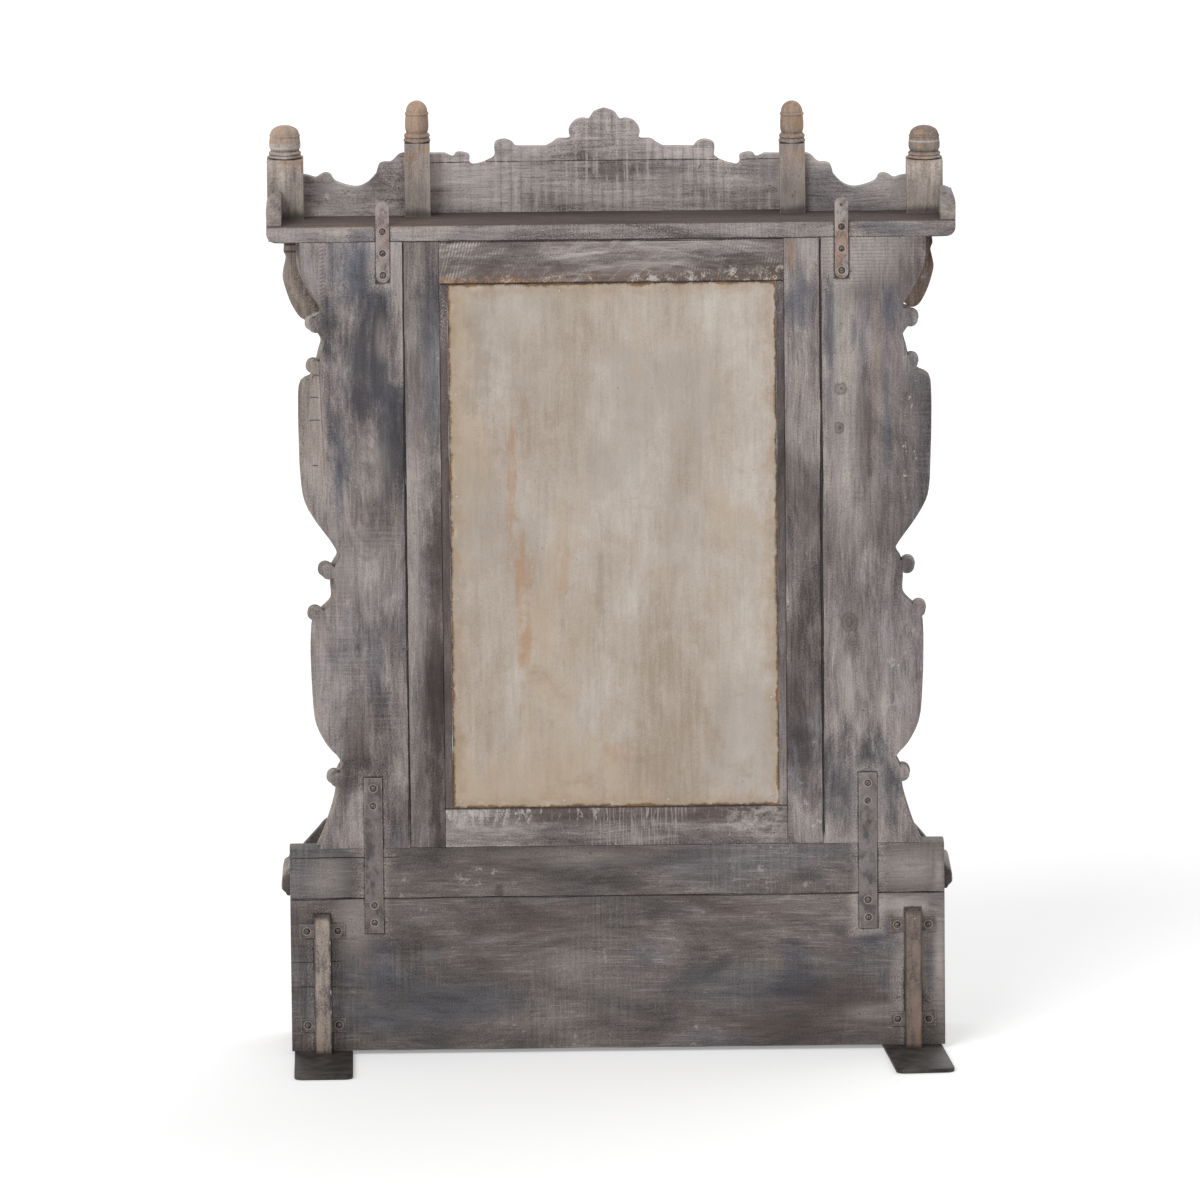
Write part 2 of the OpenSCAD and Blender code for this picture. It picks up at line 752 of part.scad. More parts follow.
// Scroll bracket under the end of the cornice, carried by the column's cap
module cornice_bracket(side, w, h) {
    x = column_x + column_block / 2;
    color(dark_timber) on_side(side) upright(arch_y, arch_t) translate([x, cornice_z])
        polygon(concat([[0, 0], [w * 0.96, 0]],
            curve([[w * 0.96, -h * 0.11], [w * 0.97, -h * 0.19], [w * 0.93, -h * 0.27],
                [w * 0.99, -h * 0.45], [w * 0.96, -h * 0.58], [w * 0.84, -h * 0.8],
                [w * 0.68, -h * 0.96], [w * 0.5, -h], [w * 0.3, -h * 0.92], [0, -h * 0.86]])));
}

module cornice_bracket_left() {
    cornice_bracket(1, left_bracket_out, left_bracket_h);
}

module cornice_bracket_right() {
    cornice_bracket(-1, right_bracket_out, right_bracket_h);
}

// Scroll beside the column's foot
module foot_scroll(side, w) {
    h = foot_scroll_h;
    x = column_x + column_block / 2;
    color(dark_timber) on_side(side) upright(arch_y, arch_t) translate([x, sill_z])
        polygon(concat([[0, 0], [w, 0]],
            curve([[w, h * 0.09], [w * 0.95, h * 0.21], [w * 0.74, h * 0.5], [w * 0.5, h * 0.8],
                [w * 0.34, h], [w * 0.14, h * 1.05], [0, h * 1.12]])));
}

// Cornice

module cornice_board() {
    w = cornice_w / 2;
    r = cornice_r;
    color(old_timber) difference() {
        upright(0, cornice_d) translate([0, cornice_z])
            polygon(concat(arc(-w + r, r, r, 180, 270), arc(w - r, r, r, 270, 360),
                [[w, cornice_t], [-w, cornice_t]]));
        for (side = [-1, 1]) pilot(upper_strap_x(side), upper_hole_z(1));
    }
}

module cornice_upstand(side) {
    w = cornice_w / 2;
    color(pale_timber) on_side(side) upright(0, outer_post_y)
        translate([w - upstand_w, tray_z])
            polygon(concat([[0, 0], [upstand_w, 0]],
                arc(upstand_w - upstand_r, upstand_h - upstand_r, upstand_r, 0, 90),
                [[0, upstand_h]]));
}

// Front fascia: an ogee moulding that closes the tray's front
module cornice_fascia() {
    t = fascia_t;
    h = fascia_drop + cornice_t + fascia_rise;
    r = t / 3;
    color(pale_timber) translate([-cornice_w / 2, -cornice_d, cornice_z - fascia_drop])
        rotate([90, 0, 90]) linear_extrude(cornice_w)
            polygon(concat([[0, 0]],
                curve([[-t * 0.25, 0], [-t * 0.38, h * 0.12], [-t * 0.3, h * 0.28],
                    [-t * 0.5, h * 0.5], [-t * 0.92, h * 0.7], [-t, h * 0.82]], 5),
                arc(r - t, h - r, r, 180, 90, 4), [[0, h]]));
}

// Row of small blocks under the cornice, in front of the frieze
module cornice_dentils() {
    n = floor((2 * arch_half_w - dentil_w) / dentil_pitch / 2);
    y = column_y + frieze_t / 2;
    setback = 4;
    color(pale_timber) for (i = [-n:n]) translate([i * dentil_pitch, 0, cornice_z - dentil_h])
        block(-dentil_w / 2, dentil_w / 2, setback - cornice_d, -y, 0, dentil_h);
}

// Crest

// How much lower the crest is at x than at the left inner post
function fall_at(x) = crest_fall * (inner_post_x - x) / (2 * inner_post_x);

// The joint between the middle crest's planks ends where the outline dips to it
crest_joint_x = 0.626 * inner_post_x;

// Half of the middle crest's outline, from the post to the peak
function crest_half() = let (u = inner_post_x, s = crest_shoulder_h, j = crest_joint_h) concat(
    [[u + inner_post_w / 2, 1.156 * j]],
    curve([[0.854 * u, 1.156 * j], [0.811 * u, 1.09 * j], [0.79 * u, 1.17 * j],
        [0.751 * u, 1.17 * j], [0.722 * u, 1.117 * j], [0.722 * u, 0.987 * j],
        [0.697 * u, 0.935 * j], [crest_joint_x, 1.013 * j], [0.587 * u, 1.117 * j],
        [0.587 * u, 1.01 * s], [0.569 * u, 1.07 * s], [0.534 * u, 1.09 * s],
        [0.498 * u, 1.06 * s], [0.477 * u, 0.99 * s]]),
    curve([[0.313 * u, 0.99 * s], [0.278 * u, 1.04 * s], [0.246 * u, 1.1 * s],
        [0.187 * u, 1.11 * s], [0.19 * u, 1.228 * s], [0.176 * u, 1.317 * s],
        [0.147 * u, 1.386 * s], [0.11 * u, 1.406 * s], [0.082 * u, 1.396 * s],
        [0.053 * u, 0.968 * crest_h], [0, crest_h]]));

module crest_outline() {
    half = crest_half();
    top = [for (p = concat(half, mirrored(half))) p - [0, fall_at(p[0])]];
    translate([crest_shift, tray_z])
        polygon(concat([[inner_post_x + inner_post_w / 2, 0]], top,
            [[-inner_post_x - inner_post_w / 2, 0]]));
}

// The part of the middle crest that the upper plank takes
module above_crest_joint() {
    translate([crest_shift - crest_joint_x, tray_z + crest_joint_h])
        square([2 * crest_joint_x, crest_h]);
}

module crest_centre_lower() {
    color(old_timber) upright(crest_y, crest_t) difference() {
        crest_outline();
        above_crest_joint();
    }
}

module crest_centre_upper() {
    color(pale_timber) upright(crest_y, crest_t) intersection() {
        crest_outline();
        above_crest_joint();
    }
}

// Side crest board, between the inner and the outer post
module crest_side(side) {
    x0 = inner_post_x + inner_post_w / 2;
    x1 = outer_post_x - outer_post_w / 2;
    w = x1 - x0;
    h = side_crest_h;
    top = curve([[w, h * 0.645], [w * 0.95, h * 0.634], [w * 0.88, h * 0.6], [w * 0.83, h * 0.645],
        [w * 0.78, h * 0.677], [w * 0.73, h * 0.645], [w * 0.68, h * 0.538], [w * 0.5, h * 0.452],
        [w * 0.38, h * 0.505], [w * 0.29, h * 0.645], [w * 0.275, h * 0.71], [w * 0.25, h * 0.817],
        [w * 0.2, h * 0.85], [w * 0.13, h * 0.86], [w * 0.06, h * 0.968], [0, h]]);
    color(old_timber) translate([crest_shift, 0, 0]) on_side(side)
        upright(side_crest_y, crest_t) translate([x0, tray_z])
            polygon(concat([[0, 0], [w, 0]],
                [for (p = top) p - [0, fall_at(side * (x0 + p[0]))]]));
}

// Turned head: necking rings, a barrel, a bead and a dome
function head_section(r, h) = concat(
    [[0, 0], [r * 1.06, 0]],
    arc(r * 0.98, h * 0.05, h * 0.05, -60, 60, 3),
    arc(r * 0.94, h * 0.16, h * 0.05, -60, 60, 3),
    curve([[r * 0.9, h * 0.24], [r, h * 0.34], [r, h * 0.52], [r * 0.96, h * 0.64]], 4),
    arc(r * 0.93, h * 0.69, h * 0.03, -60, 60, 3),
    [for (a = [0:10:90]) [r * 0.93 * cos(a), h * (0.73 + 0.27 * sin(a))]]);

module post(x, y, w, square_h, head_r, head_h) {
    color(pale_timber) translate([x + crest_shift, -y - w / 2, tray_z]) {
        block(-w / 2, w / 2, -w / 2, w / 2, 0, square_h);
        translate([0, 0, square_h]) rotate_extrude(convexity = 6, $fn = 40)
            polygon(head_section(head_r, head_h));
    }
}

module post_outer(side) {
    post(side * outer_post_x, outer_post_y, outer_post_w,
        outer_post_h - fall_at(side * outer_post_x), outer_post_w * 0.43, outer_head_h);
}

module post_inner(side) {
    post(side * inner_post_x, inner_post_y, inner_post_w,
        inner_post_h - fall_at(side * inner_post_x), inner_post_w * 0.46, inner_head_h);
}

// Straps and stands

module strap_holes(x, heights) {
    for (z = heights) translate([x, cut, z]) rotate([90, 0, 0])
        translate([0, 0, -strap_t - 2 * cut]) cylinder(r = strap_hole_r, h = strap_t + 4 * cut);
}

// Round-ended strap whose top hole stays free above the cornice
module upper_strap(side) {
    r = upper_strap_w / 2;
    top = upper_hole_z(0) + upper_strap_end;
    color(old_steel) difference() {
        upright(-strap_t, strap_t) translate([upper_strap_x(side), top - upper_strap_l]) {
            translate([0, r]) circle(r);
            translate([0, upper_strap_l - r]) circle(r);
            translate([-r, r]) square([2 * r, upper_strap_l - 2 * r]);
        }
        strap_holes(upper_strap_x(side), [for (i = [0:3]) upper_hole_z(i)]);
    }
}

module lower_strap(side) {
    w = lower_strap_w / 2;
    color(old_steel) difference() {
        block(lower_strap_x(side) - w, lower_strap_x(side) + w, 0, strap_t,
            base_top - lower_strap_down, base_top + lower_strap_up);
        strap_holes(lower_strap_x(side), [for (i = [0:3]) strap_screw_z(i)]);
    }
}

// Screw with a domed head on the strap and its shank in the timber
module screw(x, z) {
    head_h = 2.4;
    point_l = 2;
    tip = -screw_l - strap_t;
    translate([x, strap_t, z]) rotate([-90, 0, 0]) rotate_extrude($fn = 24)
        polygon(concat([[0, tip], [screw_r, tip + point_l], [screw_r, 0], [screw_head_r, 0]],
            [for (a = [15:25:90]) [screw_head_r * cos(a), head_h * sin(a)]], [[0, head_h]]));
}

module strap_screws() {
    color(black_steel) for (side = [-1, 1]) {
        for (i = [1:3]) screw(upper_strap_x(side), upper_hole_z(i));
        for (i = [0:3]) screw(lower_strap_x(side), strap_screw_z(i));
    }
}

module stand_tube(side) {
    r = tube_w / 2;
    color(cream) translate([side * tube_x, tube_y + r, base_z]) difference() {
        block(-r, r, -r, r, 0, tube_h);
        block(tube_wall - r, r - tube_wall, tube_wall - r, r - tube_wall, tube_wall,
            tube_h + cut);
    }
}

// Two flat straps behind each tube, each with a screwed tab either side
module stand_straps() {
    color(old_steel) for (side = [-1, 1], i = [0, 1]) difference() {
        block(side * tube_x - stand_strap_l / 2, side * tube_x + stand_strap_l / 2, 0, strap_t,
            stand_strap_z(i) - stand_strap_h / 2, stand_strap_z(i) + stand_strap_h / 2);
        for (tab = [-1, 1]) strap_holes(side * tube_x + tab * tab_x, [stand_strap_z(i)]);
    }
}

module stand_screws() {
    color(black_steel) for (side = [-1, 1], tab = [-1, 1], i = [0, 1])
        screw(side * tube_x + tab * tab_x, stand_strap_z(i));
}

module stand_plate(side, turn) {
    w = plate_w / 2;
    r = plate_r;
    y = tube_y + tube_w / 2;
    color(black_steel) translate([side * tube_x, y, 0]) rotate(turn) linear_extrude(plate_t)
        polygon(concat(
            arc(w - r, plate_reach - y - r, r, 0, 90),
            arc(-w + r, plate_reach - y - r, r, 90, 180),
            arc(-w + r, -plate_under - y + r, r, 180, 270),
            arc(w - r, -plate_under - y + r, r, 270, 360)));
}

base_rear_lower_plank();
base_rear_upper_plank();
base_side(1);  // base_side_left
base_side(-1);  // base_side_right
base_sill();
base_floor();
base_front_panel();
base_pilasters();
base_rosettes();
ledge_mouldings();
plinth_board();
stile(1);  // stile_left
stile(-1);  // stile_right
top_rail();
bottom_rail();
panel_liners();
mirror_glass();
backing_panel();
mirror_border();
panel_pins();
wing(1, left_wing_trim);  // wing_left
wing(-1, right_wing_trim);  // wing_right
wing_facing(1);  // wing_facing_left
wing_facing(-1);  // wing_facing_right
column_foot(1);  // column_foot_left
column_foot(-1);  // column_foot_right
column_shaft(1);  // column_shaft_left
column_shaft(-1);  // column_shaft_right
column_capital(1);  // column_capital_left
column_capital(-1);  // column_capital_right
cusped_arch();
frieze_beam();
cornice_bracket_left();
cornice_bracket_right();
foot_scroll(1, left_foot_scroll_out);  // foot_scroll_left
foot_scroll(-1, right_foot_scroll_out);  // foot_scroll_right
cornice_board();
cornice_fascia();
cornice_upstand(1);  // cornice_upstand_left
cornice_upstand(-1);  // cornice_upstand_right
cornice_dentils();
crest_centre_lower();
crest_centre_upper();
crest_side(1);  // crest_side_left
crest_side(-1);  // crest_side_right
post_outer(1);  // post_outer_left
post_outer(-1);  // post_outer_right
post_inner(1);  // post_inner_left
post_inner(-1);  // post_inner_right
upper_strap(1);  // upper_strap_left
upper_strap(-1);  // upper_strap_right
lower_strap(1);  // lower_strap_left
lower_strap(-1);  // lower_strap_right
strap_screws();
stand_tube(1);  // stand_tube_left
stand_tube(-1);  // stand_tube_right
stand_straps();
stand_plate(1, left_plate_turn);  // stand_plate_left
stand_plate(-1, right_plate_turn);  // stand_plate_right
stand_screws();
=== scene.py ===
"""Jharokha mirror, seen from behind: old grey timber, a cream panel, steel straps and stands."""
import json
from math import cos, pi, radians, sin

import bpy
from mathutils import Matrix, Vector


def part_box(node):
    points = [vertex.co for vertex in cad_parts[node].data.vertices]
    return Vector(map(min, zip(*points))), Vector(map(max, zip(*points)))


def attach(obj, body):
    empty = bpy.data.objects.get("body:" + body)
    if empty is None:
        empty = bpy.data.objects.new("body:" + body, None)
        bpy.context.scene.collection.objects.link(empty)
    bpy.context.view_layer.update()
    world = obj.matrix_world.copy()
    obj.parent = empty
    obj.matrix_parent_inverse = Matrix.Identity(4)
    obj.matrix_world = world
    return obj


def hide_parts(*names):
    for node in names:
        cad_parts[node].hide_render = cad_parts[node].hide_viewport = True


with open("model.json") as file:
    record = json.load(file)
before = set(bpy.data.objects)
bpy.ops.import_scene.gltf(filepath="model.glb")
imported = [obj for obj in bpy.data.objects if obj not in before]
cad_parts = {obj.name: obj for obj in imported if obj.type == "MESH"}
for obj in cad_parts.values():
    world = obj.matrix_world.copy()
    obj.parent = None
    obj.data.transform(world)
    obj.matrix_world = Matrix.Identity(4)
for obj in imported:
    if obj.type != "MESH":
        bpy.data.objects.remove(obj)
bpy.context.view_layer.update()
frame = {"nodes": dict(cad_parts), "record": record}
scene = bpy.context.scene
nodes = frame["nodes"]


# Colours


def tint(red, green, blue):
    """A colour as the eye names it, 0 to 255, turned into light"""
    return tuple((c / 255 / 12.92 if c <= 10 else ((c / 255 + 0.055) / 1.055) ** 2.4)
                 for c in (red, green, blue)) + (1,)


def shade(colour, by):
    """The colour made darker or lighter"""
    return tuple(min(1, c * by) for c in colour[:3]) + (1,)


# the light, middle and dark of each timber, by where it is in the frame
LOW = tint(134, 125, 121), tint(96, 89, 86), tint(52, 47, 46)
MIDDLE = tint(170, 160, 156), tint(124, 115, 113), tint(64, 56, 56)
HIGH = tint(196, 187, 183), tint(157, 148, 145), tint(88, 80, 79)
CREST = tint(208, 198, 194), tint(169, 159, 156), tint(98, 89, 86)
WARM = tint(204, 190, 179), tint(172, 158, 148), tint(100, 87, 81)
DARK = tint(190, 177, 166), tint(154, 140, 130), tint(84, 73, 67)
RUSTY = tint(172, 146, 134), tint(122, 96, 87), tint(58, 45, 41)
# painted shade: the foot scrolls are this dark for the shade they stand in behind the wings
SHADED_TIMBER = tint(116, 106, 100), tint(74, 64, 60), tint(40, 33, 31)
FRONT = tint(180, 170, 162), tint(138, 127, 120), tint(78, 69, 64)
# stains
BLUE, UMBER, BLACK = tint(90, 92, 101), tint(82, 68, 63), tint(36, 30, 29)
PALE, RUST, CHALK = tint(166, 157, 151), tint(146, 106, 78), tint(200, 193, 187)
SLATE, BROWN = tint(60, 60, 68), tint(158, 130, 108)
# how much darker the low places of a paint or a timber are
DARKER = 0.42


# Camera and lamps

TARGET = Vector((0.02175, 0, 0.692457))
DISTANCE, HEIGHT, SIDE, TILT = 18.0, radians(10), radians(0.4), radians(0.57)


def make_camera():
    """The photograph's view: from far behind, ten degrees above the floor"""
    back = Vector((sin(SIDE) * cos(HEIGHT), cos(SIDE) * cos(HEIGHT), sin(HEIGHT)))
    right = (-back).cross(Vector((0, 0, 1))).normalized()
    up = right.cross(-back)
    across = right * cos(TILT) - up * sin(TILT)
    upward = right * sin(TILT) + up * cos(TILT)
    data = bpy.data.cameras.new("camera")
    data.sensor_width, data.lens = 36, 360
    data.clip_start, data.clip_end = 0.5, 400
    camera = bpy.data.objects.new("camera", data)
    camera.matrix_world = Matrix.Translation(TARGET + back * DISTANCE) @ Matrix(
        (across, upward, back)).transposed().to_4x4()
    scene.collection.objects.link(camera)
    scene.camera = camera


def lamp(name, strength, spread, turn, tilt):
    """A soft distant lamp; turn is 0 from the front and 180 from behind, tilt is its height"""
    data = bpy.data.lights.new(name, "SUN")
    data.energy, data.angle = strength, radians(spread)
    obj = bpy.data.objects.new(name, data)
    a, e = radians(turn), radians(tilt)
    obj.rotation_euler = Vector(
        (sin(a) * cos(e), -cos(a) * cos(e), sin(e))).to_track_quat("Z", "Y").to_euler()
    scene.collection.objects.link(obj)


# Materials


class Value:
    """A number that changes over a surface, for ordinary arithmetic"""

    def __init__(self, maker, socket):
        self.maker, self.socket = maker, socket

    def maths(self, operation, *others):
        return self.maker.node("ShaderNodeMath", {"operation": operation},
                               dict(enumerate((self,) + others)))

    def __rsub__(self, other):
        return self.maker.node("ShaderNodeMath", {"operation": "SUBTRACT"}, {0: other, 1: self})

    __add__ = __radd__ = lambda self, other: self.maths("ADD", other)
    __mul__ = __rmul__ = lambda self, other: self.maths("MULTIPLY", other)
    __sub__ = lambda self, other: self.maths("SUBTRACT", other)
    __truediv__ = lambda self, other: self.maths("DIVIDE", other)
    __abs__ = lambda self: self.maths("ABSOLUTE")
    least = lambda self, other: self.maths("MINIMUM", other)
    most = lambda self, other: self.maths("MAXIMUM", other)

    def fade(self, start, end, low=0.0, high=1.0):
        """Runs softly from low to high as the number goes from start to end"""
        return self.maker.node(
            "ShaderNodeMapRange", {"interpolation_type": "SMOOTHSTEP"},
            {"Value": self, "From Min": start, "From Max": end, "To Min": low, "To Max": high})

    def wave(self, pitch, start, end):
        """Soft lines at an even pitch"""
        return (self * (2 * pi / pitch)).maths("SINE").fade(start, end)


class Nodes:
    """The nodes of a material or of the world"""

    def __init__(self, tree):
        self.tree = tree

    def node(self, kind, settings, inputs, out=0):
        made = self.tree.nodes.new(kind)
        for key, value in settings.items():
            if key == "stops":
                while len(made.color_ramp.elements) < len(value):
                    made.color_ramp.elements.new(0.5)
                for element, (position, colour) in zip(made.color_ramp.elements, value):
                    element.position, element.color = position, colour
            else:
                setattr(made, key, value)
        for key, value in inputs.items():
            self.feed(made.inputs[key], value)
        return Value(self, made.outputs[out])

    def feed(self, socket, value):
        if isinstance(value, Value):
            self.tree.links.new(value.socket, socket)
        else:
            socket.default_value = value

    def seen(self):
        """1 for what the camera sees, also in the mirror and through glass"""
        straight, glossy, through = (
            self.node("ShaderNodeLightPath", {}, {}, kind)
            for kind in ("Is Camera Ray", "Is Glossy Ray", "Is Transmission Ray"))
        return straight.most(glossy).most(through)


class Finish(Nodes):
    """A material in the making, whose colour is laid on coat by coat"""

    def __init__(self, name):
        self.material = bpy.data.materials.new(name)
        self.material.use_nodes = True
        super().__init__(self.material.node_tree)
        self.shader = self.tree.nodes["Principled BSDF"]
        self.place = self.node("ShaderNodeTexCoord", {}, {}, "Object")
        self.x, self.y, self.z = (
            self.node("ShaderNodeSeparateXYZ", {}, {"Vector": self.place}, axis) for axis in "XYZ")

    def stretched(self, scale, shift):
        """The place on the piece, drawn out along an axis whose scale is small"""
        return self.node("ShaderNodeMapping", {}, {
            "Vector": self.place, "Scale": scale, "Location": (shift, shift * 0.7, shift * 1.3)})

    def noise(self, where, scale, detail=2.0, roughness=0.5, distortion=0.0):
        return self.node("ShaderNodeTexNoise", {}, {
            "Vector": where, "Scale": scale, "Detail": detail, "Roughness": roughness,
            "Distortion": distortion})

    def drawn(self, scale, shift, *values):
        """Noise that is drawn out"""
        return self.noise(self.stretched(scale, shift), *values)

    def open_air(self, reach, inside=False):
        """1 where nothing of the same piece is near, less in hollows, or inside near a corner"""
        return self.node("ShaderNodeAmbientOcclusion",
                         {"samples": 4, "inside": inside, "only_local": True},
                         {"Distance": reach}, "AO")

    def facing(self):
        """1 on a face that looks straight back, -1 on one that looks to the front"""
        return self.node("ShaderNodeSeparateXYZ", {}, {
            "Vector": self.node("ShaderNodeNewGeometry", {}, {}, "Normal")}, "Y")

    def distance(self, x, z, wide=1, tall=1):
        """How far a place is from a point, counted in widths and heights"""
        sideways, upwards = (self.x - x) / wide, (self.z - z) / tall
        return (sideways * sideways + upwards * upwards).maths("SQRT")

    def depth_in(self, low, high):
        """How far inside the edges of a box a place lies, seen from behind"""
        return (self.x - low.x).least(high.x - self.x).least(
            (self.z - low.z).least(high.z - self.z))

    def mix(self, below, above, amount):
        return self.node("ShaderNodeMix", {"data_type": "RGBA"}, {0: amount, 6: below, 7: above}, 2)

    def ramp(self, amount, *stops):
        return self.node("ShaderNodeValToRGB", {"stops": stops}, {"Fac": amount}, "Color")

    def lay(self, above, amount):
        """Lays one more coat over the colour so far"""
        self.colour = self.mix(self.colour, above, amount)

    def finish(self, rough, height=None, depth=0.001, metal=0.0):
        self.feed(self.shader.inputs["Base Color"], self.colour)
        self.feed(self.shader.inputs["Roughness"], rough)
        self.feed(self.shader.inputs["Metallic"], metal)
        if height is not None:
            self.feed(self.shader.inputs["Normal"], self.node(
                "ShaderNodeBump", {}, {"Height": height, "Distance": depth, "Strength": 1.0},
                "Normal"))
        return self.material


# how far the noise is drawn out along the grain, and across it for saw marks
LONG = {"X": (0.08, 1, 1), "Y": (1, 0.08, 1), "Z": (1, 1, 0.08)}
LONGEST = {"X": (0.03, 1, 1), "Y": (1, 0.03, 1), "Z": (1, 1, 0.03)}
SHORT = {"X": (0.45, 1, 1), "Y": (1, 0.45, 1), "Z": (1, 1, 0.45)}
ACROSS = {"X": (1, 0.05, 0.05), "Y": (0.05, 1, 0.05), "Z": (0.05, 0.05, 1)}


class Timber(Finish):
    """Weathered timber, whose colours are drawn along its grain"""

    def __init__(self, name, grain, family, seed, cloudy, streak):
        super().__init__(name)
        self.grain, self.seed = grain, seed
        # the grain wanders, so its place is pushed aside by slow noise
        drift = self.node("ShaderNodeTexNoise", {}, {
            "Vector": self.short(0), "Scale": 7, "Detail": 3}, "Color")
        self.pushed = self.node("ShaderNodeVectorMath", {"operation": "MULTIPLY_ADD"},
                                {0: drift, 1: (0.035, 0.035, 0.035), 2: self.place})
        self.along = self.node("ShaderNodeMapping", {}, {
            "Vector": self.pushed, "Scale": LONG[grain]})
        self.cloud = self.noise(self.short(3), 11, 8, 0.68, 0.5) - 0.5
        self.broad = self.noise(self.short(17), 3.4, 3) - 0.5
        self.figure = self.noise(self.along, 60, 4, 0.65) - 0.5
        self.fibre = self.noise(self.along, 260, 3, 0.6) - 0.5
        self.grit = self.noise(self.place, 420, 3, 0.75) - 0.5
        self.level = (self.broad * (1.2 * cloudy) + self.cloud * (2.2 * cloudy)
                      + self.figure * (1.6 * streak) + self.fibre * (1.1 * streak)
                      + self.grit * 1.5 + 0.5)
        light, mid, dark = family
        self.colour = self.ramp(self.level, (0.05, dark), (0.48, mid), (0.95, light))

    def short(self, more):
        """The place drawn out a little along the grain, apart for each kind of noise"""
        return self.stretched(SHORT[self.grain], self.seed + more)

    def toned(self, colour):
        """A colour that keeps the timber's own light and dark"""
        return self.ramp(self.level, (0.0, shade(colour, DARKER)), (0.5, colour),
                         (1.0, shade(colour, 1.6)))

    def wash(self, above, amount):
        """Lays on a thin coat, through which the timber's light and dark show"""
        self.lay(self.toned(above), amount)

    def patchy(self, start, end, low=0.0, high=1.0):
        """Breaks a coat up into patches"""
        return (self.cloud + self.grit).fade(start, end, low, high)


def stains(f, blue, brown):
    """Blue-grey and umber clouds"""
    slate = f.noise(f.short(11), 8, 7, 0.66, 0.4) + f.grit * 0.12 + f.figure * 0.15
    f.wash(tint(86, 88, 97), slate.fade(0.47, 0.64, 0, blue))
    umber = f.noise(f.short(23), 6.5, 7, 0.64, 0.4) + f.grit * 0.1 + f.figure * 0.2
    f.wash(tint(84, 70, 65), umber.fade(0.49, 0.66, 0, brown))


def scratches(f, white):
    """Pale and dark scratches along the grain, and specks of whitewash"""
    scratch = f.noise(f.node("ShaderNodeMapping", {},
                             {"Vector": f.pushed, "Scale": LONGEST[f.grain]}), 480) - 0.5
    f.lay(tint(192, 184, 178), scratch.fade(0.09, 0.17)
          * (f.cloud + f.broad).fade(-0.12, 0.12, 0, 0.26))
    f.lay(tint(50, 43, 41), scratch.fade(-0.1, -0.17) * 0.35)
    specks = f.noise(f.place, 560, 2, 0.6).fade(0.62, 0.68)
    f.lay(tint(206, 199, 193), specks * (f.cloud + f.broad + f.figure).fade(-0.02, 0.2) * white)
    f.height = (f.figure * 0.6 + f.fibre * 0.6 + f.grit * 0.5 + f.cloud * 0.3 + scratch * 0.4)


def saw_marks(f, strength, pitch):
    lines = f.drawn(ACROSS[f.grain], f.seed, pitch)
    patch = f.drawn((1, 1, 1), f.seed + 5, 6, 4, 0.6).fade(0.44, 0.6)
    cut = lines.fade(0.44, 0.6) * patch * (f.grit + 0.5).fade(0.35, 0.6, 0.5, 1)
    f.lay(tint(190, 182, 176), cut * strength)
    f.height += cut * 0.35


def whitewash(f, strength):
    """What is left of the whitewash, in the rough places"""
    chips = f.drawn((0.7, 1, 0.7), f.seed + 31, 95, 5, 0.72)
    rubbed = f.noise(f.along, 120, 5, 0.7).fade(0.56, 0.68) * f.broad.fade(0.0, 0.12)
    left = (chips.fade(0.58, 0.66) * f.cloud.fade(0.01, 0.12)).most(rubbed * 0.6)
    f.lay(tint(200, 194, 188), left * strength)


def mark(f, x, z, wide, tall, colour, strength):
    """A soft patch of colour"""
    far = f.distance(x / 1000, z / 1000, wide / 1000, tall / 1000)
    f.wash(colour, (far + f.cloud * 4 + f.figure + f.grit).fade(1.5, 0.3, 0, strength / 100))


def halo_and_shadow_beside(f, node):
    """A pale, broken halo round the steel that lies on the timber, and a dark line of painted
    shadow along the steel's edge
    """
    away = f.depth_in(*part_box(node)) * -1
    f.wash(tint(176, 167, 161), (away + f.cloud * 0.07 + f.figure * 0.03).fade(0.02, 0.0, 0, 0.6)
           * (f.broad + f.cloud + f.grit).fade(-0.12, 0.1, 0.1, 1))
    # painted shadow: a dark line where the steel lies on the timber
    f.lay(tint(34, 28, 26), (away + f.cloud * 0.006 + f.grit * 0.002).fade(0.0032, 0, 0, 0.85))


def pits(f):
    holes = f.drawn((0.8, 1, 0.8), f.seed, 170, 3, 0.6).fade(0.33, 0.26)
    f.lay(tint(48, 41, 39), holes * 0.6)
    f.height -= holes * 0.8


def knot(f, x, z, r):
    """Broken dark rings, a little taller than wide"""
    r = r / 1000
    far = f.distance(x / 1000, z / 1000, 1, 0.7 ** -0.5)
    far = far + f.cloud * (r * 4) + f.figure * (r * 1.5)
    ring = (far * (9 / r)).maths("SINE").fade(-0.2, 0.9)
    mask = far.fade(r * 1.3, r * 0.6)
    f.wash(tint(66, 55, 52), mask * (0.45 + ring * 0.4)
           * (f.grit + f.figure + f.cloud).fade(-0.3, 0.05, 0.2, 1))
    f.height += mask * ring * 0.4


def crack(f, start, end, across, half):
    start, end, across, half = (size / 1000 for size in (start, end, across, half))
    side, other = (f.x, f.z) if f.grain == "X" else (f.z, f.x)
    line = abs(other - across + f.figure * 0.005 + f.cloud * 0.004 + f.grit * half)
    mask = (line.fade(half * 1.2, half * 0.8) * side.fade(start, start + 0.02)
            * side.fade(end, end - 0.02) * (f.fibre + f.figure + f.grit).fade(-0.2, -0.05, 0.4, 1))
    f.lay(tint(18, 14, 13), mask)
    f.height -= mask * 2


